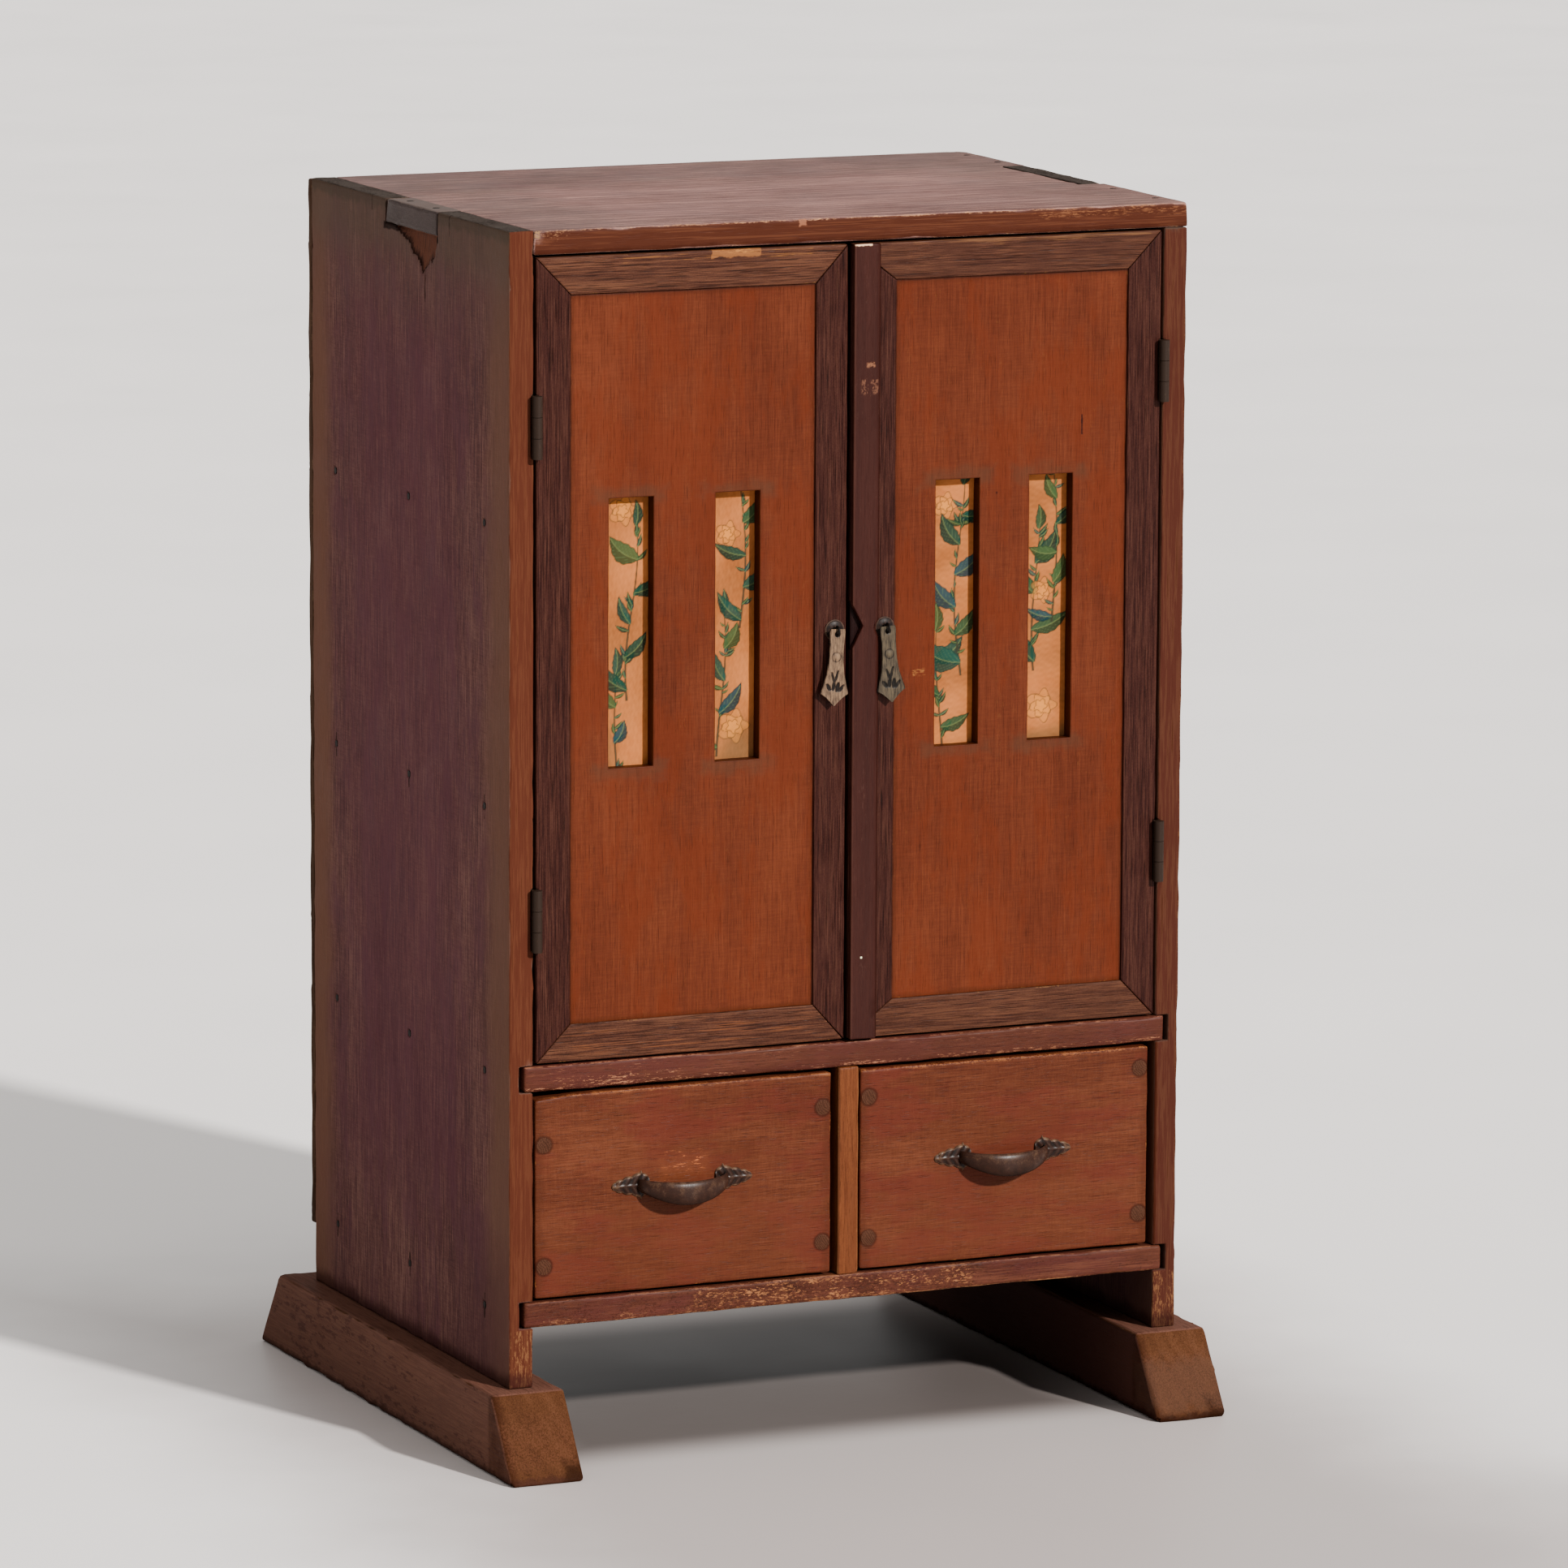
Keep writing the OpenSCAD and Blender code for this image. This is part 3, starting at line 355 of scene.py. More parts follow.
def math_method(operation: str, text: str, swapped: bool = False) -> Callable[..., "Value"]:
    """Makes a method of Value that adds one Math node.

    Args:
        operation: the node's operation.
        text: the method's docstring.
        swapped: True if the value is the second term, as in 1 - mask.

    Returns:
        The method, which takes the other term if the operation has one.
    """
    def method(self: "Value", *other: "Value | float") -> "Value":
        """Adds the node."""
        terms = (*other, self) if swapped else (self, *other)
        inputs = {i: t.socket if isinstance(t, Value) else t for i, t in enumerate(terms)}
        return Value(self.graph, self.graph.node("ShaderNodeMath", {"operation": operation}, inputs).outputs[0])

    method.__doc__ = text
    return method


class Value:
    """A number that changes over a surface. Arithmetic on it adds Math nodes."""

    def __init__(self, graph: "Graph", socket: bpy.types.NodeSocket) -> None:
        """Wraps an output socket."""
        self.graph, self.socket = graph, socket

    __add__ = __radd__ = math_method("ADD", "Sum.")
    __sub__ = math_method("SUBTRACT", "Difference.")
    __rsub__ = math_method("SUBTRACT", "Difference from a plain number.", True)
    __mul__ = __rmul__ = math_method("MULTIPLY", "Product.")
    __abs__ = math_method("ABSOLUTE", "Size without sign.")
    least = math_method("MINIMUM", "The lesser of the two.")
    most = math_method("MAXIMUM", "The greater of the two.")
    root = math_method("SQRT", "Square root.")
    sine = math_method("SINE", "Sine.")

    def wave(self) -> "Value":
        """Sine, moved to lie from 0 to 1."""
        return self.sine() * 0.5 + 0.5

    def ease(self, low: float, high: float) -> "Value":
        """Rises smoothly from 0 at low to 1 at high."""
        inputs = {0: self.socket, 1: low, 2: high}
        settings = {"interpolation_type": "SMOOTHSTEP"}
        return Value(self.graph, self.graph.node("ShaderNodeMapRange", settings, inputs).outputs[0])


class Graph:
    """One material's nodes, with a Principled shader at the end."""

    def __init__(self, name: str, **uniform: float) -> None:
        """Starts a material.

        Args:
            name: the material's name.
            uniform: shader sockets that are the same all over, by name with _ for a space.
        """
        self.material = bpy.data.materials.new(name)
        self.material.use_nodes = True
        self.tree = self.material.node_tree
        self.tree.nodes.clear()
        self.shader = self.node("ShaderNodeBsdfPrincipled")
        for key, value in uniform.items():
            self.shader.inputs[key.replace("_", " ")].default_value = value
        self.node("ShaderNodeOutputMaterial", {}, {"Surface": self.shader.outputs[0]})
        self.place = self.node("ShaderNodeTexCoord").outputs["Object"]
        split = self.node("ShaderNodeSeparateXYZ", {}, {0: self.place})
        self.xyz = [Value(self, split.outputs[i]) * 1000.0 for i in range(3)]

    def node(self, kind: str, settings: dict | None = None, inputs: dict | None = None) -> bpy.types.Node:
        """Adds a node.

        Args:
            kind: the node's type name.
            settings: properties, set before the sockets; "stops" are a ramp's (place, colour).
            inputs: values or output sockets by socket name or number.

        Returns:
            The node.
        """
        made = self.tree.nodes.new(kind)
        for key, value in (settings or {}).items():
            if key == "stops":
                while len(made.color_ramp.elements) < len(value):
                    made.color_ramp.elements.new(0.5)
                for element, (at, colour) in zip(made.color_ramp.elements, value):
                    element.position, element.color = at, (*colour, 1.0)
            else:
                setattr(made, key, value)
        for key, value in (inputs or {}).items():
            if isinstance(value, bpy.types.NodeSocket):
                self.tree.links.new(value, made.inputs[key])
            else:
                made.inputs[key].default_value = value
        return made

    def noise(self, size: Sequence[float], detail: float = 3.0, rough: float = 0.55, seed: float = 0.0) -> Value:
        """Cloudy noise with blots of a given size in mm on each axis.

        Args:
            size: usual size of a blot in mm along X, Y and Z.
            detail: octaves.
            rough: strength of the finer octaves.
            seed: moves the pattern.

        Returns:
            A value from 0 to 1, mostly near 0.5.
        """
        scale = tuple(1000.0 / s for s in size)
        shift = (seed * 7.3 + 3.1, seed * 3.7 + 1.3, seed * 5.9 + 2.7)
        spot = self.node("ShaderNodeVectorMath", {"operation": "MULTIPLY_ADD"}, {0: self.place, 1: scale, 2: shift})
        inputs = {"Vector": spot.outputs[0], "Scale": 1.0, "Detail": detail, "Roughness": rough}
        return Value(self, self.node("ShaderNodeTexNoise", {}, inputs).outputs[0])

    def attribute(self, name: str) -> Value:
        """Reads a value that the mesh carries."""
        return Value(self, self.node("ShaderNodeAttribute", {"attribute_name": name}).outputs["Fac"])

    def ramp(self, value: Value, stops: Sequence[tuple[float, Colour]]) -> bpy.types.NodeSocket:
        """Turns a value into a colour by a ramp."""
        return self.node("ShaderNodeValToRGB", {"stops": stops}, {0: value.socket}).outputs[0]

    def mix(self, share: Value, under: bpy.types.NodeSocket | Colour, over: bpy.types.NodeSocket | Colour,
            how: str = "MIX") -> bpy.types.NodeSocket:
        """Lays one colour over another by a share from 0 to 1."""
        def four(c: bpy.types.NodeSocket | Colour) -> bpy.types.NodeSocket | tuple:
            """Gives a plain colour its fourth number."""
            return c if isinstance(c, bpy.types.NodeSocket) else (*c, 1.0)

        settings = {"data_type": "RGBA", "blend_type": how, "clamp_factor": True}
        inputs = {0: share.socket, 6: four(under), 7: four(over)}
        return self.node("ShaderNodeMix", settings, inputs).outputs[2]

    def finish(self, colour: bpy.types.NodeSocket, rough: Value, height: Value, relief: float) -> bpy.types.Material:
        """Links colour, roughness and a bump of the given relief in mm to the shader."""
        bump = self.node("ShaderNodeBump", {}, {"Height": height.socket, "Distance": relief * MM, "Strength": 1.0})
        for name, socket in (("Base Color", colour), ("Roughness", rough.socket), ("Normal", bump.outputs[0])):
            self.tree.links.new(socket, self.shader.inputs[name])
        return self.material


@dataclass(frozen=True)
class Mark:
    """A patch of another colour on a finish.

    The patch lies within its ranges of X, Y and Z, where None has no end, or in the round rod
    inside them if it is a disc. Its mask is 1 inside and 0 outside, eased over soft mm, after the
    distance has been shifted by up to ragged mm of noise. A grainy patch only takes where the
    fibres are high, and a flecked one only in small blots, in clumps, that cover about that share
    of it.
    """

    x: Span | None
    y: Span | None
    z: Span | None
    colour: str
    strength: float = 1.0
    soft: float = 2.0
    ragged: float = 0.0
    pitch: float = 8.0
    grainy: float = 0.0
    flecks: float = 0.0
    fleck_size: tuple[float, float, float] = (1.6, 1.6, 0.9)
    light: Light | None = None
    disc: bool = False

    def mask(self, graph: Graph, fibre: Value, seed: float) -> Value:
        """Builds the patch's mask in a graph."""
        reach = None
        for axis, span in enumerate((self.x, self.y, self.z)):
            if span is None:
                continue
            middle, half = (span[0] + span[1]) / 2, (span[1] - span[0]) / 2
            out = graph.xyz[axis] - middle
            if self.disc:
                reach = out * out if reach is None else (reach + out * out).root() - half
            else:
                out = abs(out) - half
                reach = out if reach is None else reach.most(out)
        if self.ragged:
            blots = graph.noise((self.pitch,) * 3, 3.0, 0.6, seed)
            reach = reach + (blots - 0.5) * (4 * self.ragged)
        mask = 1 - reach.ease(-self.soft / 2, self.soft / 2)
        if self.grainy:
            mask = mask * fibre.ease(0.42 + 0.1 * self.grainy, 0.5 + 0.1 * self.grainy)
        if self.flecks:
            level = 0.66 - 0.36 * self.flecks
            specks = graph.noise(self.fleck_size, 4.0, 0.75, seed + 0.5)
            clumps = graph.noise(tuple(7 * size for size in self.fleck_size), 3.0, 0.6, seed + 0.8)
            mask = mask * (specks + (clumps - 0.5) * 0.5).ease(level, level + 0.06)
        return mask * self.strength


def lit(light: Light, *marks: Mark) -> list[Mark]:
    """Patches whose colours are seen in a given light."""
    return [replace(mark, light=light) for mark in marks]


@dataclass(frozen=True)
class Wood:
    """A stained wood: its tones in a given light, its fibres, rings and pores, and its wear."""

    name: str
    deep: str
    main: str
    light: str
    bare: str = "c08a5c"
    fibre: tuple[float, float] = (0.9, 60.0)
    contrast: float = 0.9
    ring: tuple[float, float] = (9.0, 0.2)
    cloud: tuple[float, float] = (90.0, 0.5)
    pores: float = 0.35
    pore_size: tuple[float, float] = (0.45, 9.0)
    rough: float = 0.42
    relief: float = 0.1
    edge: float = 0.8
    edge_share: float = 0.5
    cross: float = 0.0
    tint: str | None = None
    specular: float = 0.05
    seen_in: Light = Light.FRONT

    def dress(self, name: str, low: np.ndarray, high: np.ndarray, axis: Axis, seed: float,
              marks: Sequence[Mark] = (), scar: str | None = None) -> bpy.types.Material:
        """Makes the finish for one board.

        The tone at a point is the middle plus fibres, rings, clouds and grit, each times its
        contrast. Rings are a sine of the place across the board, bent by a slow noise. The second
        least distance to the faces of the board's box is the distance to its nearest arris, where
        the stain is worn off in dashes.

        Args:
            name: the material's name.
            low: lowest corner of the board in mm.
            high: highest corner of the board in mm.
            axis: the way of the fibres.
            seed: moves all patterns.
            marks: patches, laid on in order.
            scar: colour where the mesh's value "scar" is 1, for a mesh that has it.

        Returns:
            The material.
        """
        g = Graph(name, Specular_IOR_Level=self.specular)

        def sizes(across: float, along: float) -> list[float]:
            """Sizes of a blot that runs with the fibres."""
            return [along if k == axis.value else across for k in range(3)]

        def own(code: str) -> Colour:
            """Base colour of one of the wood's tones."""
            return tone(code, self.seen_in)

        fibre = g.noise(sizes(*self.fibre), 4.0, 0.62, seed)
        fine = g.noise(sizes(self.fibre[0] * 0.45, self.fibre[1] * 0.3), 2.0, 0.6, seed + 0.4)
        grit = g.noise((0.9, 0.9, 0.9), 2.0, 0.8, seed + 0.7)
        broad = g.noise(sizes(self.cloud[0] * 0.5, self.cloud[0] * 1.5), 6.0, 0.62, seed + 1.0)
        slow = g.noise(sizes(self.ring[0] * 5, self.ring[0] * 40), 2.0, 0.5, seed + 2.0)
        across = [g.xyz[k] for k in range(3) if k != axis.value]
        turn = 2 * math.pi / self.ring[0]
        rings = (across[0] * turn + across[1] * (0.55 * turn) + slow * 26.0).wave()
        value = (0.5 + (fibre - 0.5) * self.contrast + (fine - 0.5) * (0.7 * self.contrast)
                 + (grit - 0.5) * (0.35 * self.contrast)
                 + (rings - 0.5) * self.ring[1] + (broad - 0.5) * self.cloud[1])
        if self.cross:
            saw = g.noise(sizes(9.0, 0.9), 3.0, 0.6, seed + 1.5)
            value = value + (saw - 0.5) * self.cross
        colour = g.ramp(value, [(0.2, own(self.deep)), (0.5, own(self.main)), (0.8, own(self.light))])
        if self.tint:
            stain = g.noise(sizes(26.0, 70.0), 5.0, 0.65, seed + 2.5).ease(0.46, 0.62)
            colour = g.mix(stain * 0.55, colour, own(self.tint))
        pore = g.noise(sizes(*self.pore_size), 1.0, 0.5, seed + 3.0).ease(0.58, 0.7)
        colour = g.mix(pore * self.pores, colour, tuple(0.35 * c for c in own(self.deep)))
        gaps = [(g.xyz[k] - float(low[k])).least(float(high[k]) - g.xyz[k]) for k in range(3)]
        a, b, c = gaps
        arris = a.least(b).most(a.most(b).least(c))
        patchy = g.noise((14.0,) * 3, 4.0, 0.65, seed + 4.0)
        nibble = g.noise((1.7,) * 3, 3.0, 0.7, seed + 5.0)
        level = 0.68 - 0.36 * self.edge_share
        wear = (1 - (arris + (nibble - 0.5) * (5 * self.edge)).ease(0.3 * self.edge, self.edge)) \
            * patchy.ease(level, level + 0.08)
        colour = g.mix(wear * 0.8, colour, own(self.bare))
        for k, mark in enumerate(marks):
            shade = tone(mark.colour, mark.light or self.seen_in)
            colour = g.mix(mark.mask(g, fibre, seed + 6.0 + k), colour, shade)
        height = fibre * 0.6 + fine * 0.4 - pore * 0.8 + rings * (0.6 * self.ring[1]) - wear * 0.6
        if scar:
            hollow = g.attribute("scar")
            torn = g.ramp(hollow + (fibre - 0.5) * 1.4, [(0.3, own("1e1310")), (0.7, own(scar)), (1.0, own("533226"))])
            colour = g.mix(hollow.ease(0.1, 0.3), colour, torn)
        dull = g.noise((40.0, 40.0, 40.0), 3.0, 0.6, seed + 5.5)
        rough = self.rough + (fibre - 0.5) * 0.3 + (dull - 0.5) * 0.35 + wear * 0.12
        return g.finish(colour, rough, height, self.relief)


@dataclass(frozen=True)
class Metal:
    """A cast or pressed metal: dark in its hollows and rubbed on its ridges."""

    name: str
    hollow: str
    main: str
    rubbed: str
    rough: float = 0.42
    blot: tuple[float, float, float] = (3.0, 3.0, 3.0)
    blotchy: float = 0.9
    specular: float = 0.08
    relief: float = 0.05

    def dress(self, name: str) -> bpy.types.Material:
        """Makes the finish. Its tone is the mesh's ridge value moved by noise of two sizes."""
        g = Graph(name, Specular_IOR_Level=self.specular)
        blots = g.noise(self.blot, 4.0, 0.65, 1.0)
        grit = g.noise((0.5,) * 3, 2.0, 0.6, 2.0)
        ridge = g.attribute("ridge")
        value = ridge + (blots - 0.5) * self.blotchy + (grit - 0.5) * 0.35
        stops = [(at, tone(code, Light.METAL)) for at, code in
                 ((0.12, self.hollow), (0.5, self.main), (0.88, self.rubbed))]
        rough = self.rough + (0.5 - blots) * 0.4 + (grit - 0.5) * 0.2
        return g.finish(g.ramp(value, stops), rough, blots * 0.5 + grit * 0.5, self.relief)


# ---- finishes of this cupboard

# Depths of patches in Y: door and drawer faces, panels with the walls of their slots, front edges
# of the boards, those edges with their arrises, their outermost skin, the strip, and a foot's length.
FACE, SUNK, EDGE, ARRIS, SKIN = (-173, -168), (-172, -160), (-176, -170), (-176, -169), (-176, -170.3)
STRIP_FACE, FOOT_LONG = (-176, -174), (-230, 240)
# Sizes of flecks in mm: long dashes, round specks and chips of the paint.
DASH, SPECK, CHIP = (5.0, 1.4, 0.8), (2.0, 1.6, 1.4), (3.0, 1.5, 1.1)

DARK_BOARD = Wood("dark_board", "3c2627", "523531", "6c4b43", "7a5a44", (1.5, 40.0), 1.35, (19.0, 0.05),
                  (110.0, 0.6), 0.4, (0.8, 14.0), rough=0.5, relief=0.12, edge=0.9, edge_share=0.4, cross=0.4,
                  tint="4e3034", specular=0.005, seen_in=Light.SHADE)
TOP_BOARD = Wood("top_board", "6e4c48", "94716a", "b6978f", "c9a890", (1.3, 60.0), 1.7, (10.0, 0.2),
                 (90.0, 0.8), 0.6, (0.8, 22.0), rough=0.45, relief=0.12, edge=1.0, edge_share=0.5, specular=0.02,
                 seen_in=Light.TOP)
SHELF = Wood("shelf_wood", "582e25", "74412f", "8a503c", "b88a70", (1.1, 40.0), 0.9, (13.0, 0.08),
             (60.0, 0.5), 0.35, (0.6, 9.0), rough=0.45, edge_share=0.35, tint="703a34")
DIVIDER = Wood("divider_wood", "743c22", "935330", "a8663e", "b08a60", (0.9, 40.0), 0.9, (7.0, 0.08),
               (60.0, 0.4), 0.35, (0.6, 9.0), edge_share=0.3)
INNER = Wood("inner_wood", "6e4a36", "946a50", "ae8668", "b8947a", (1.1, 70.0), 0.9, (12.0, 0.14),
             (100.0, 0.4), 0.3, rough=0.6, edge_share=0.3)
FOOT = Wood("foot_wood", "5a3827", "75492f", "8c5c40", "a07c5c", (1.1, 30.0), 0.7, (14.0, 0.1),
            (60.0, 0.7), 0.3, rough=0.55, relief=0.14, edge=1.4, edge_share=0.4, specular=0.01)
FRAME = Wood("frame_wood", "2e1916", "4e2b24", "6c4234", "7c5238", (0.8, 48.0), 1.2, (8.0, 0.08),
             (90.0, 0.25), 0.75, (0.5, 26.0), rough=0.45, relief=0.16, edge=0.6, edge_share=0.15)
RAIL = Wood("frame_wood", "462820", "6c4130", "8c5a40", "a87850", (0.8, 44.0), 1.4, (7.0, 0.08),
            (60.0, 0.4), 0.75, (0.5, 24.0), rough=0.45, relief=0.16, edge=0.7, edge_share=0.3)
STRIP = Wood("frame_wood", "38201c", "4a2822", "5a322a", "8a6452", (1.2, 60.0), 0.5, (14.0, 0.06),
             (80.0, 0.35), 0.15, rough=0.4, relief=0.05, edge=0.6, edge_share=0.15, specular=0.06)
PANEL = Wood("panel_wood", "6a2f1a", "813d22", "954b2b", "b07846", (0.9, 50.0), 0.75, (6.0, 0.04),
             (100.0, 0.95), 0.35, (0.5, 12.0), rough=0.44, relief=0.06, edge_share=0.3, cross=0.4,
             tint="8a3a1c")
DRAWER = Wood("drawer_front_wood", "683220", "7f432a", "955538", "cf9a70", (1.0, 36.0), 0.95, (9.0, 0.05),
              (90.0, 0.95), 0.45, (0.5, 12.0), relief=0.08, edge=0.7, edge_share=0.25, cross=0.4,
              tint="83392a")
DRAWER_BOX = Wood("drawer_wood", "846248", "a67f62", "c09c7e", "ccae92", (1.0, 80.0), 0.9, (14.0, 0.14),
                  (90.0, 0.4), 0.3, rough=0.62, edge_share=0.2)
PLUG = Wood("plug_wood", "4c2d20", "663e2c", "784c36", "6d4c32", (0.8, 2.0), 0.8, (1.6, 0.3),
            (12.0, 0.5), 0.4, rough=0.6, edge_share=0.0)
BACK = Wood("dark_board", "4a352a", "6a4e3e", "866552", "94745a", (1.2, 90.0), 1.2, (19.0, 0.14),
            (140.0, 0.6), 0.35, rough=0.65, edge=1.4, edge_share=0.4, specular=0.01)

IRON = Metal("iron", "241b17", "4a3529", "6c4f3a", 0.65, (4.0, 4.0, 4.0))
HINGE = Metal("hinge_brass", "37261c", "8a6650", "bc9a7a", 0.5, (2.0, 2.0, 5.0))
BRONZE = Metal("dark_bronze", "1a0f0b", "42271c", "8c6a50", 0.33, (5.0, 5.0, 5.0), 0.7, 0.085)
ROSETTE = Metal("dark_bronze", "160e0a", "483026", "8a6c54", 0.45, (2.0, 2.0, 2.0), 0.9, 0.09)
PALE = Metal("pale_brass", "1a110b", "866a54", "aa8e74", 0.5, (1.1, 3.0, 7.0), 1.9)
GREEN = Metal("green_brass", "16110c", "584a3a", "7c6a52", 0.5, (1.0, 3.0, 8.0), 2.1)


# ---- making pieces


@dataclass
class Workshop:
    """Turns shapes into pieces of the scene and keeps count of them."""

    made: list[str] = field(default_factory=list)

    def piece(self, name: str, shape: Shape, body: str, finish: bpy.types.Material,
              replaces: Sequence[str] = (), bevel: float = 0.0, crease: float = 40.0) -> bpy.types.Object:
        """Puts a shape into the scene.

        Args:
            name: the piece's name.
            shape: its surface in mm.
            body: the body that it rides on.
            slot: the record's material slot.
            finish: its material.
            replaces: CAD nodes that it stands for.
            bevel: width in mm of a rounding on all its arrises, or 0 for none.
            crease: without a bevel, edges sharper than this angle in degrees stay sharp.

        Returns:
            The object, at the origin, with its place in its mesh.
        """
        mesh = bpy.data.meshes.new(name)
        mesh.from_pydata((shape.points * MM).tolist(), [], shape.faces)
        mesh.polygons.foreach_set("use_smooth", np.ones(len(mesh.polygons), bool))
        for key, value in shape.values.items():
            kind = "FLOAT" if value.ndim == 1 else "FLOAT_COLOR"
            layer = mesh.attributes.new(key, kind, "POINT")
            layer.data.foreach_set("value" if kind == "FLOAT" else "color", value.astype(np.float32).ravel())
        if not bevel:
            mesh.set_sharp_from_angle(angle=math.radians(crease))
        mesh.materials.append(finish)
        made = bpy.data.objects.new(name, mesh)
        bpy.context.scene.collection.objects.link(made)
        if bevel:
            round_off = made.modifiers.new("arris", "BEVEL")
            round_off.width, round_off.segments = bevel * MM, 2
            round_off.limit_method, round_off.angle_limit = "ANGLE", math.radians(50)
            round_off.use_clamp_overlap = False
            made.modifiers.new("normals", "WEIGHTED_NORMAL")
        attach(made, body)
        if replaces:
            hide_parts(*replaces)
        self.made.append(name)
        LOG.info("%s: %d points, rides on %s", name, len(shape.points), body)
        return made

    def board(self, node: str, body: str, wood: Wood, axis: Axis, seed: int, marks: Sequence[Mark] = (),
              cuts: Sequence[Box] = (), dents: Sequence[Dent] = (), bevel: float = 0.8,
              warp: Callable[[np.ndarray], np.ndarray] | None = None, name: str | None = None,
              box: tuple[np.ndarray, np.ndarray] | None = None, scar: str | None = None,
              **block: object) -> bpy.types.Object:
        """Makes a worn board in place of a CAD node.

        Args:
            node: the CAD node, whose box is the board's unless another is given.
            body: the body that it rides on.
            wood: its wood.
            axis: the way of its fibres.
            seed: moves its patterns and wear.
            marks: patches on its finish.
            cuts: boxes cut out of it.
            dents: round hollows in it.
            bevel: rounding of its arrises.
            warp: moves its points.
            name: the piece's name, which is the node's with "worn_" in front unless given.
            box: lowest and highest corner in mm.
            scar: colour of its torn hollow, if the warp makes one.
            block: other fields of Block.

        Returns:
            The object.
        """
        low, high = box if box is not None else cad_box(node)
        name = name or "worn_" + node
        finish = wood.dress(name, low, high, axis, seed, marks, scar)
        flat = Block(low, high, list(cuts), list(dents), seed=seed, **block).shape()
        shape = Shape(warp(flat.points.copy()) if warp else flat.points, flat.faces)
        if scar:
            moved = np.linalg.norm(shape.points - flat.points, axis=1)
            shape.values["scar"] = np.clip(moved / 2.0, 0, 1)
        return self.piece(name, shape, body, finish, [node], bevel)

    def keep(self, node: str, finish: bpy.types.Material) -> None:
        """Gives a CAD node whose shape is right its finish."""
        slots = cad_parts[node].data.materials
        slots.clear()
        slots.append(finish)
        LOG.info("%s: kept, with finish %s", node, finish.name)


def cad_box(node: str) -> tuple[np.ndarray, np.ndarray]:
    """Lowest and highest corner of a CAD node in mm."""
    low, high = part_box(node)
    return np.array(low) / MM, np.array(high) / MM


# ---- the case


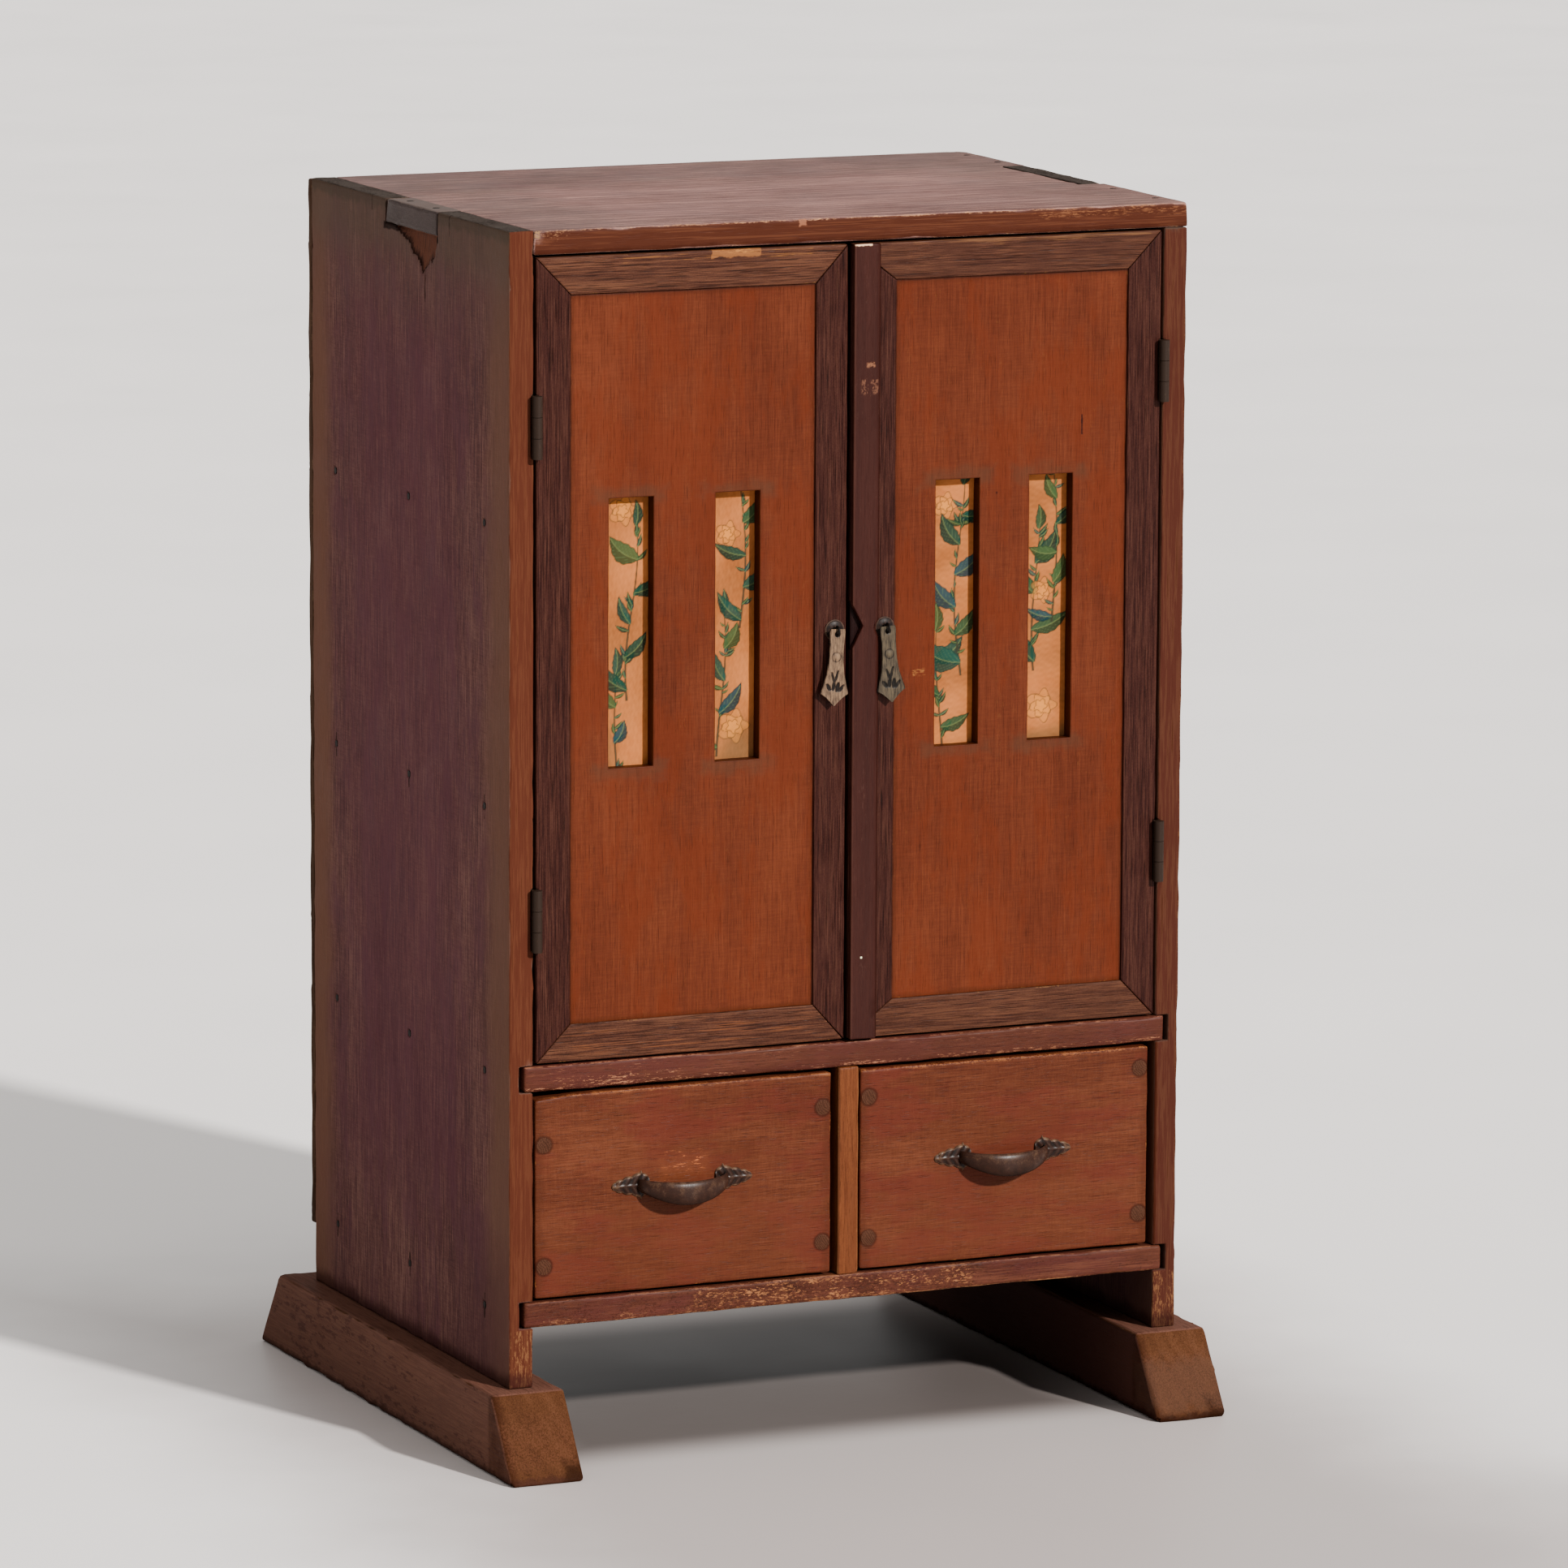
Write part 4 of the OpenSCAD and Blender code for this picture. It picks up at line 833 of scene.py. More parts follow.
@dataclass
class Case:
    """Side boards, top, shelves, upright, back panel and feet."""

    half: float = 225.0
    inner: float = 209.0
    housing: float = 218.0
    rear: float = 157.0
    top: float = 757.0
    under_top: float = 742.0
    boards: tuple[tuple[float, float], ...] = ((87.0, 103.0), (233.0, 249.0))
    shelves: tuple[tuple[float, float], ...] = ((398.0, 410.0), (571.0, 583.0))
    shelf_front: float = -152.5
    nails_y: tuple[float, ...] = (-131.0, -7.0, 117.0)
    left_tab: tuple[float, float] = (-55.0, 30.0)
    right_finger: tuple[float, float] = (-52.0, 64.0)
    hinge_half: float = 19.0
    left_hinges: tuple[float, float] = (339.0, 639.0)
    right_hinges: tuple[float, float] = (354.0, 654.0)
    leaf: tuple[float, float] = (1.2, 14.0)
    foot_high: float = 50.0
    foot_lean: float = 34.0
    foot_half: float = 215.0
    screws_y: tuple[float, ...] = (-111.0, -7.0, 97.0)
    back_edge_nails: tuple[float, ...] = (143.0, 286.5, 430.0, 573.5, 717.0)
    back_board_nails: tuple[float, ...] = (95.0, 241.0, 749.5)

    def side_cuts(self, side: int, hinges: Sequence[float]) -> list[Box]:
        """Housings and hinge recesses of a side board.

        Args:
            side: -1 for the left board and 1 for the right one.
            hinges: heights of the hinges' middles.

        Returns:
            Boxes to cut.
        """
        def box(x0: float, x1: float, y0: float, y1: float, z0: float, z1: float) -> Box:
            """A box between two distances from the middle, on this side."""
            xs = sorted((side * x0, side * x1))
            return (xs[0], y0, z0), (xs[1], y1, z1)

        made = [box(self.inner - 1, self.housing, -200, 200, *z) for z in self.boards]
        made += [box(self.inner - 1, self.housing, self.shelf_front, 200, *z) for z in self.shelves]
        made += [box(self.inner - 1, self.inner + self.leaf[0], -200, FRONT_Y + self.leaf[1],
                     z - self.hinge_half, z + self.hinge_half) for z in hinges]
        return made

    @property
    def nail_spots(self) -> list[tuple[float, float]]:
        """Y and Z of the nails in a side board: one for each board it holds, in three rows."""
        return [(y, sum(z) / 2) for y in self.nails_y for z in self.boards + self.shelves]

    def side_dents(self, side: int) -> list[Dent]:
        """Hollows round the nail heads in a side board's outer face."""
        return [Dent((side * self.half, y, z), 2.7, 0.55, 0, -side) for y, z in self.nail_spots]

    def nail_marks(self, side: int) -> list[Mark]:
        """Dark stains round those nails, with a crack at every other one."""
        x = side * self.half
        spots = self.nail_spots
        cracks = [Mark((x - 3, x + 3), (y - 0.9, y + 0.1), (z - 8, z + 7), "1c1210", 0.85, 0.9, 0.9, 9.0)
                  for y, z in spots[::2]]
        return cracks + [Mark((x - 3, x + 3), (y - 2.2, y + 2.2), (z - 2.6, z + 2.6), "2e1c1a", 0.7, 1.5, 0.8, 5.0)
                         for y, z in spots]

    def side_bands(self, side: int) -> list[Mark]:
        """Broad tones of a side board: its outer face, its front edge and its upper end grain.

        Args:
            side: -1 for the left board and 1 for the right one.

        Returns:
            Patches, from the broadest to the finest.
        """
        edge, pale = ("743f2e", "8c553c") if side < 0 else ("683a2e", "80523c")
        inside = (side * (self.inner - 2), side * (self.inner + 1.5))
        return [
            Mark(None, (-200, -138), None, "5e4032", 0.75, 30.0, 8.0, 50.0),
            Mark(None, (128, 200), None, "5f3f30", 0.8, 26.0, 6.0, 50.0),
            Mark(None, (-90, 90), (150, 700), "4c2c33", 0.45, 90.0, 25.0, 60.0),
            Mark(None, (-172, -90), (51, 130), "40282a", 0.45, 60.0, 12.0, 50.0),
            Mark(None, None, (700, 800), "4e3c36", 0.4, 90.0, 14.0, 40.0),
            Mark(None, None, (726, 760), "4a3e34", 0.45, 26.0, 5.0, 16.0),
            Mark(None, None, (750, 760), "3a3229", 0.6, 6.0, 3.0, 8.0),
            *lit(
                Light.TOP,
                Mark(None, None, (756.6, 760), "4e443e", 1.0, 0.3),
                Mark(None, None, (756.5, 760), "302824", 0.7, 0.3, 0, 8, 0, 0.45, (1.2, 4.0, 2.0)),
            ),
            *lit(
                Light.FRONT,
                Mark(None, (-176, -170.4), None, edge, 1.0, 0.4, 0.1, 4.0),
                Mark(None, SKIN, None, pale, 0.5, 0.4, 0.2, 22.0, 0.6),
                Mark(None, SKIN, None, "4a2418", 0.45, 0.5, 0, 8, 1.8),
                Mark(None, SKIN, (50, 86), "b08462", 0.6, 0.4, 0.2, 9.0, 0, 0.4, (0.9, 1.0, 5.0)),
            ),
            Mark(None, None, (48, 58), "281614", 0.7, 9.0, 3.0, 20.0),
            Mark((min(inside), max(inside)), (-169.6, 200), (90, 743), "6a4230", 0.85, 0.8, light=Light.TOP),
        ]

    def left_side(self, shop: Workshop) -> None:
        """The left board, with the top's tab notch and the split under it.

        The split is a hollow 3 mm deep at the tab. Its lower outline falls steeply from the
        tab's front end to a point a third of the way along and rises in steps to the rear end.
        """
        low, high = self.left_tab
        cuts = self.side_cuts(-1, self.left_hinges) + [((-300, low, self.under_top), (-200, high, 800))]

        def split(points: np.ndarray) -> np.ndarray:
            """Moves the outer face in where the splinter broke off."""
            y, z = points[:, 1], points[:, 2]
            along = np.clip((y - low - 1) / 66.0, 0, 1)
            drop = np.interp(along, [0, 0.05, 0.2, 0.34, 0.42, 0.62, 0.66, 0.85, 1.0],
                             [5, 14, 17, 25, 17, 12, 7.5, 5, 1.5])
            drop = drop + 2.5 * (ripple(points, 5, 5) - 0.5)
            inside = (along > 0) & (along < 1) & (points[:, 0] < -self.half + 1)
            slope = ease(z, self.under_top - drop - 0.8, self.under_top - drop + 0.8)
            depth = slope * (1.6 + 1.8 * ease(z, self.under_top - drop, self.under_top))
            points[:, 0] += inside * depth * (z < self.under_top + 0.5)
            return points

        marks = [*self.side_bands(-1),
                 Mark((-230, -223.5), (-36, -34.6), (700, 724), "2a1814", 0.8, 0.8, 1.2, 9.0),
                 Mark((-230, -222), (low - 2.2, low + 1), (738, 758), "120c0a", 0.85, 1.2, 1.0, 6.0),
                 Mark((-230, -222), (high - 0.5, high + 1.2), (740, 758), "1a1210", 0.75, 1.0, 0.7, 6.0),
                 Mark((-230, -222), (low - 2, high + 3), (738.5, 742.6), "140d0b", 0.85, 1.4, 1.0, 7.0),
                 Mark((-230, -222), (-76, -74.6), (744, 758), "1c1412", 0.7, 0.8, 0.8, 6.0),
                 Mark((-230, -222), (52, 53.4), (748, 758), "1c1412", 0.6, 0.8, 0.8, 6.0),
                 *self.nail_marks(-1)]
        shop.board("left_side", "case", DARK_BOARD, Axis.Z, 11, marks, cuts, self.side_dents(-1), 0.9, split,
                   scar="38241e", fine=[(1, low - 1, low + 70, 1.6), (2, 712, 741, 1.5)], worn=0.6)

    def right_side(self, shop: Workshop) -> None:
        """The right board, with its one finger in the top."""
        a, b = self.right_finger
        cuts = self.side_cuts(1, self.right_hinges)
        cuts += [((200, y0, self.under_top), (300, y1, 800)) for y0, y1 in ((-300, a), (b, 300))]
        marks = [
            *self.side_bands(1),
            *lit(
                Light.FRONT,
                Mark((209, 211), SKIN, (104, 240), "4a2418", 0.6, 1.0, 0.4, 14.0),
                Mark((223.6, 226), SKIN, (110, 700), "a87c58", 0.5, 0.8, 0.3, 7.0, 0, 0.3),
            ),
            *self.nail_marks(1),
        ]
        # Painted shade: this sunlit board takes the same screen tones as the shaded left board, divided by its brighter
        # light, so its colours are darker and cancel the sun.
        painted_shade_board = replace(DARK_BOARD, seen_in=Light.SIDE)
        shop.board("right_side", "case", painted_shade_board, Axis.Z, 12, marks, cuts, self.side_dents(1), 0.9, worn=0.6)

    def top_board(self, shop: Workshop) -> None:
        """The weathered top, whose rear corners are rounded by wear."""
        low, high = self.left_tab
        a, b = self.right_finger
        cuts = [((-300, -300, 700), (-self.inner, low, 800)), ((-300, high, 700), (-self.inner, 300, 800)),
                ((self.inner, a, 700), (300, b, 800))]
        x = (self.half + self.inner) / 2
        nails = [(-x, -33.75), (-x, 8.75), (x, -141.25), (x, -81.75), (x, 87.25), (x, 133.75)]
        dents = [Dent((nx, ny, self.top), 2.7, 0.55, 2, -1) for nx, ny in nails]
        marks = [
            Mark((-240, -208.7), (low, high), (740, 760), "5e544c", 0.85, 1.0, 0.5, 6.0),
            Mark((-240, -209), (low - 1, low + 0.9), (740, 760), "1c1614", 0.9, 0.8, 0.6, 5.0),
            Mark((-240, -209), (high - 0.9, high + 1), (740, 760), "1c1614", 0.9, 0.8, 0.6, 5.0),
            *lit(
                Light.SHADE,
                Mark((-240, -224.4), (low, high), (740, 760), "322927", 1.0, 0.3),
                Mark((-240, -224.3), (low, high), (740, 760), "241c1a", 0.8, 0.3, 0, 8, 0, 0.4, (2, 7, 1.2)),
                Mark((-240, -224.3), (low, high), (740, 760), "2a211f", 0.7, 0.4, 0, 8, 0.7),
                Mark((-240, -224.3), (low, high), (740, 743), "1c1412", 0.8, 1.2, 0.5, 6.0),
                Mark((-240, -223), (low - 1, low + 1.3), (740, 760), "0c0807", 0.9, 1.0, 0.6, 5.0),
                Mark((-240, -223), (high - 1.3, high + 1), (740, 760), "0c0807", 0.8, 1.0, 0.6, 5.0),
            ),
            Mark((-240, -150), None, (755, 760), "7c6c68", 0.6, 90.0, 14.0, 30.0),
            Mark((150, 240), None, (755, 760), "866e66", 0.5, 60.0, 12.0, 30.0),
            Mark(None, (70, 200), (755, 760), "806866", 0.6, 60.0, 10.0, 40.0),
            Mark(None, (40, 200), (755, 760), "5e524a", 0.7, 50.0, 24.0, 46.0, 0.5),
            Mark(None, (-150, 200), (755, 760), "64544c", 0.4, 40.0, 40.0, 60.0, 1.0),
            Mark((-120, 160), (-120, 40), (755, 760), "a58580", 0.5, 80.0, 20.0, 50.0),
            *lit(
                Light.FRONT,
                Mark(None, (-176, -170.5), (740, 756.4), "683828", 1.0, 0.4, 0.1, 4.0),
                Mark(None, (-176, -170.4), (740, 756.4), "8a5238", 0.6, 0.4, 0.1, 9.0, 0.9),
                Mark(None, (-176, -170.4), (740, 745), "4c261c", 0.6, 2.5, 0.8, 12.0),
                Mark(None, (-176, -169.6), (755.9, 760), "c8a690", 0.7, 0.6, 0.4, 6, 0, 0.34, (3, 1, 1)),
                Mark((-213, -186), ARRIS, (751, 760), "c09a80", 0.6, 2.0, 1.4, 5.0, 0, 0.22, (3, 1, 0.8)),
                Mark((-225, -205), ARRIS, (753, 760), "c0a07c", 0.7, 2.0, 1.4, 5.0, 0, 0.5, (2, 1, 1)),
                Mark((-36, -31), (-176, -169.4), (753, 758), "c09078", 0.7, 1.0, 1.0, 3.0),
                Mark((120, 226), ARRIS, (751, 760), "b07c5c", 0.6, 3.0, 1.4, 7.0, 0, 0.4, (5, 1, 1)),
            ),
            Mark(None, (156.4, 160), None, "4a3a34", 0.8, 0.4, light=Light.SHADE),
        ]

        def corners(points: np.ndarray) -> np.ndarray:
            """Pulls the two rear corners in along a quarter circle of 9 mm."""
            r = 9.0
            u = np.abs(points[:, 0]) - (self.half - r)
            v = points[:, 1] - (self.rear - r)
            square = np.maximum(np.maximum(u, v), 1e-6)
            factor = np.where((u > 0) & (v > 0), square / np.hypot(u, v), 1.0)
            points[:, 0] = np.where(factor < 1, np.sign(points[:, 0]) * (self.half - r + u * factor), points[:, 0])
            points[:, 1] = np.where(factor < 1, self.rear - r + v * factor, points[:, 1])
            return points

        shop.board("top_board", "case", TOP_BOARD, Axis.X, 13, marks, cuts, dents, 1.0, corners, worn=0.7,
                   fine=[(1, 148, 155, 1.5), (0, 216, 223, 1.5), (0, -223, -216, 1.5)])

    def level_boards(self, shop: Workshop) -> None:
        """Middle shelf, bottom board, the two inner shelves and the upright."""
        shelf = [
            Mark(None, EDGE, (233, 237.5), "5a2e24", 0.4, 2.5, 1.0, 12.0),
            Mark(None, EDGE, (234, 236.2), "c9a08a", 0.7, 1.0, 0.4, 9.0, 0, 0.26, DASH),
            Mark((-199, -104), EDGE, (234.5, 240.5), "cfa890", 0.65, 3.0, 1.5, 9.0, 0, 0.24, DASH),
            Mark((60, 209), EDGE, (233.4, 236), "bc8a6c", 0.6, 2.0, 0.6, 9.0, 0, 0.3, DASH),
            Mark(None, EDGE, (243, 247), "b07c62", 0.4, 2.0, 1.0, 14.0, 0, 0.12, DASH),
            Mark(None, (-176, -169.6), (248.2, 252), "bc8a70", 0.7, 0.6, 0.4, 6, 0, 0.5, DASH),
            Mark((-40, 215), EDGE, (237, 246), "643628", 0.35, 4.0, 3.0, 14.0),
        ]
        shop.board("middle_shelf", "case", SHELF, Axis.X, 14, shelf, worn=0.9, bevel=0.9)
        bottom = [
            Mark(None, ARRIS, (87, 103), "4c281e", 0.6, 2.0, 0.5, 9.0, 0, 0.25, SPECK),
            Mark((-120, 90), ARRIS, (88, 102), "40241b", 0.7, 20.0, 4.0, 14.0, 0, 0.42, SPECK),
            Mark((-100, 85), ARRIS, (89, 101), "c89a7a", 0.8, 16.0, 4.0, 14.0, 0, 0.3, CHIP),
            Mark((-209, -90), ARRIS, (87.5, 91), "bc8c6c", 0.6, 3.0, 1.5, 9.0, 0, 0.25, (3.2, 1.5, 1.1)),
            Mark((80, 209), ARRIS, (90, 98), "905840", 0.5, 3.0, 2.0, 9.0, 0.9),
            Mark(None, (-176, -169.8), (86, 88), "c09476", 0.75, 0.8, 0.4, 5.0, 0, 0.5, DASH),
            Mark(None, (-176, -169.8), (102.1, 104), "a87458", 0.7, 0.6, 0.4, 6.0, 0, 0.4, DASH),
        ]
        shop.board("bottom_board", "case", SHELF, Axis.X, 15, bottom, worn=1.0, bevel=0.9)
        for k, node in enumerate(("lower_inner_shelf", "upper_inner_shelf")):
            shop.board(node, "case", INNER, Axis.X, 16 + k)
        divider = [Mark((-8, -5.4), ARRIS, (103, 233), "6a3c24", 0.7, 1.0, 0.6, 14.0),
                   Mark((-1, 8), ARRIS, (103, 160), "80472c", 0.5, 3.0, 1.5, 14.0, 0.6),
                   Mark(None, EDGE, None, "6a3a22", 0.5, 0.5, 0, 8, 0, 0.25, (0.8, 1.0, 7.0)),
                   Mark((6.3, 8), (-176, -169.5), (103, 233), "b8845c", 0.5, 0.6, 0.3, 7.0)]
        low, high = cad_box("drawer_divider")
        low[2], high[2] = self.boards[0][1], self.boards[1][0]
        shop.board("drawer_divider", "case", DIVIDER, Axis.Z, 18, divider, box=(low, high), bevel=0.6)

    def back_panel(self, shop: Workshop) -> None:
        """The thin back, with hollows round its nails."""
        x, third = 217.0, self.inner * 2 / 3
        spots = [(s * x, z) for s in (-1, 1) for z in self.back_edge_nails]
        spots += [(s * third, z) for s in (-1, 0, 1) for z in self.back_board_nails]
        dents = [Dent((px, 164.0, pz), 2.7, 0.5, 1, -1) for px, pz in spots]
        marks = [Mark((px - 3, px + 3), (160, 168), (pz - 4, pz + 3), "2c1d16", 0.7, 3.0, 1.0, 5.0) for px, pz in spots]
        marks.append(Mark(None, None, (80, 130), "33241b", 0.5, 50.0, 12.0, 40.0))
        shop.board("back_panel", "case", BACK, Axis.Z, 19, marks, (), dents, 0.9, worn=0.8)

    def feet(self, shop: Workshop) -> None:
        """Two long feet whose ends lean in over their height."""
        def lean(points: np.ndarray) -> np.ndarray:
            """Shortens the foot evenly with height, by the lean at its top."""
            share = 1 - self.foot_lean * points[:, 2] / self.foot_high / self.foot_half
            points[:, 1] *= share
            return points

        for side, node, seed in ((-1, "left_foot", 21), (1, "right_foot", 22)):
            x0, x1 = sorted((side * 193.0, side * 241.0))
            shade = Light.SHADE if side < 0 else Light.FRONT
            marks = [
                *lit(
                    Light.SHADE,
                    Mark((-242, -240.2), FOOT_LONG, (-2, 51), "5c3c31", 1.0, 0.5),
                    Mark((-242, -240.1), FOOT_LONG, (-2, 51), "6a483a", 0.6, 0.6, 0, 8, 0.5),
                    Mark((-242, -240.1), FOOT_LONG, (-2, 51), "3c2622", 0.6, 0.6, 0, 8, 0, 0.3, (3, 14, 4)),
                    Mark((192, 193.6), FOOT_LONG, (-2, 51), "402822", 1.0, 0.5),
                ),
                # Painted shade: the right foot's sunlit outer side takes about the left foot's shaded tone, divided by
                # its brighter light, so it is darker and cancels the sun.
                Mark((240.2, 243), FOOT_LONG, (-2, 51), "5e3d32", 1.0, 0.5, light=Light.SIDE),
                *lit(
                    Light.TOP,
                    Mark(None, None, (49.3, 52), "7c5446", 0.9, 0.5),
                    Mark(None, None, (49.2, 52), "5a3c32", 0.6, 0.6, grainy=0.9),
                ),
                Mark(None, None, (-2, 4), "301c16", 0.8, 4.0, 2.0, 8.0, light=shade),
                Mark((x0 - 1, x0 + 5), (-222, -178), (0, 50), "4c2c20", 0.6, 5.0, 2.0, 10.0),
                Mark((x1 - 12, x1 + 2), (-222, -190), (-1, 12), "3c261c", 0.8, 6.0, 3.0, 7.0),
                Mark((x0, x1), (-222, -178), (8, 36), "86543c", 0.5, 12.0, 6.0, 15.0, 0.4),
                Mark((x0, x1), (-222, -178), (2, 48), "4c2f20", 0.5, 5.0, 2.0, 9.0, 0, 0.18, (1.4, 2.0, 2.0)),
            ]
            if side > 0:
                marks.append(Mark(None, (-222, -180), (6, 34), "7c5c4c", 0.35, 10.0, 6.0, 11.0))
            screws = [Dent((side * 217.0, y, 0.0), 4.1, 22.3, 2, 1) for y in self.screws_y]
            shop.board(node, "case", FOOT, Axis.Y, seed, marks, (), screws, 1.6, lean, worn=1.1)

    def build(self, shop: Workshop) -> None:
        """Makes all pieces of the case."""
        self.left_side(shop)
        self.right_side(shop)
        self.top_board(shop)
        self.level_boards(shop)
        self.back_panel(shop)
        self.feet(shop)
        iron = IRON.dress("nail_iron")
        for node in ("shelf_nails", "top_nails", "back_nails", "foot_screws"):
            shop.keep(node, iron)
        brass = HINGE.dress("case_hinge_brass")
        for node in ("case_hinge_leaves", "case_hinge_screws", "hinge_pins"):
            shop.keep(node, brass)


# ---- printed paper


@dataclass
class Sheet:
    """Points of a painted sheet: their place across, their height and their linear colours."""

    x: np.ndarray
    z: np.ndarray
    colour: np.ndarray

    def lay(self, mask: np.ndarray, over: np.ndarray | str) -> None:
        """Mixes in a colour, or the colour of a screen code, by a mask."""
        over = np.array(tone(over)) if isinstance(over, str) else over
        self.colour = self.colour * (1 - mask[:, None]) + over * mask[:, None]


@dataclass(frozen=True)
class Sprig:
    """A painted stem with leaves on both sides, bigger towards its foot, and one small flower."""

    x: float
    low: float
    high: float
    sway: float
    leaves: int
    size: float
    seed: int
    flower: tuple[float, float, float] = (0.0, 0.0, 0.0)
    pens: tuple[str, ...] = ("1f4a3c", "2a5548", "35583a", "245058", "4c6238")

    def stem(self, z: np.ndarray) -> np.ndarray:
        """Place of the stem at each height: a sine of the height about its middle."""
        return self.x + self.sway * np.sin((z - self.low) / 24.0 + self.seed)

    def leaf(self, sheet: Sheet, up: float, angle: float, length: float, half: float, pen: str) -> None:
        """Lays one leaf on the sheet.

        u runs along the leaf from 0 to 1 and v is the distance across it, bent by a parabola of
        u. The outline is half times the sine of pi times u to the power 0.75, with small teeth.
        One half is darker, the rib and the veins are pale, and the edge is a dark line.

        Args:
            sheet: the sheet.
            up: height of the leaf's root on the stem.
            angle: its direction in degrees.
            length: its length.
            half: half of its width.
            pen: its colour.
        """
        c, s = math.cos(math.radians(angle)), math.sin(math.radians(angle))
        dx, dz = sheet.x - self.stem(np.array([up]))[0], sheet.z - up
        u = (dx * c + dz * s) / length
        v = dz * c - dx * s + 0.5 * half * np.sign(c) * (4 * u * (1 - u) - 0.5)
        w = np.clip(u, 0, 1)
        edge = half * np.sin(np.pi * w ** 0.75) * (1 + 0.05 * np.sin(w * 31 + up))
        on = (u > 0) & (u < 1)
        mask = (1 - ease(np.abs(v) - edge, -0.25, 0.3)) * on
        veins = np.abs(np.sin(u * length * 0.95 - np.abs(v) * 1.3))
        shade = 0.8 + 0.55 * (v * np.sign(c) > 0) + 0.3 * (0.5 - w)
        base = np.array(tone(pen)) * shade[:, None]
        sheet.lay(mask * 0.95, base)
        sheet.lay(mask * (1 - ease(veins, 0.05, 0.3)) * 0.3, "8a9874")
        sheet.lay(mask * ease(np.abs(v) - edge, -0.7, -0.3) * 0.6, "1e302a")
        rib = (1 - ease(np.abs(v), 0.15, 0.45)) * (w < 0.92)
        sheet.lay(rib * mask * 0.45, "a4a47c")

    def paint(self, sheet: Sheet) -> None:
        """Lays the sprig on a sheet: flower first, then stem, then the leaves from the top down."""
        x, z = sheet.x, sheet.z
        dice = np.random.default_rng(self.seed)
        across, up, radius = self.flower
        if radius:
            dx, dz = x - self.x - across, z - up
            r, a = np.hypot(dx, dz), np.arctan2(dz, dx)
            for share, turn in ((1.0, 0.0), (0.72, 0.55), (0.42, 0.2)):
                reach = radius * share * (1 + 0.2 * np.cos(5 * (a + turn)) + 0.05 * np.cos(9 * a))
                sheet.lay((1 - ease(r - reach, -0.4, 0.4)) * 0.22, "e2b48a")
                sheet.lay((1 - ease(np.abs(r - reach), 0.1, 0.55)) * 0.75, "6e5434")
        share = np.clip((z - self.low) / (self.high - self.low), 0, 1)
        line = np.abs(x - self.stem(z)) - (0.75 - 0.45 * share)
        on = (z > self.low) & (z < self.high)
        sheet.lay(on * (1 - ease(line, -0.2, 0.3)) * 0.9, "4a4a38")
        for k in range(3 * self.leaves):
            root = self.low + (self.high - self.low) * dice.uniform(0.05, 0.98)
            angle = dice.uniform(20, 160)
            size = self.size * dice.uniform(0.18, 0.42)
            self.leaf(sheet, root, angle, size, size * 0.16, self.pens[k % len(self.pens)])
        for k in range(self.leaves)[::-1]:
            at = k / (self.leaves - 1)
            root = self.low + (self.high - self.low) * (0.04 + 0.94 * at) + dice.uniform(-2, 2)
            lift = dice.uniform(5, 72)
            angle = 90.0 if k == self.leaves - 1 else lift if k % 2 else 180 - lift
            length = self.size * (1.2 - 0.4 * at) * dice.uniform(0.65, 1.2)
            half = length * dice.uniform(0.17, 0.26)
            self.leaf(sheet, root, angle, length, half, self.pens[int(dice.integers(len(self.pens)))])


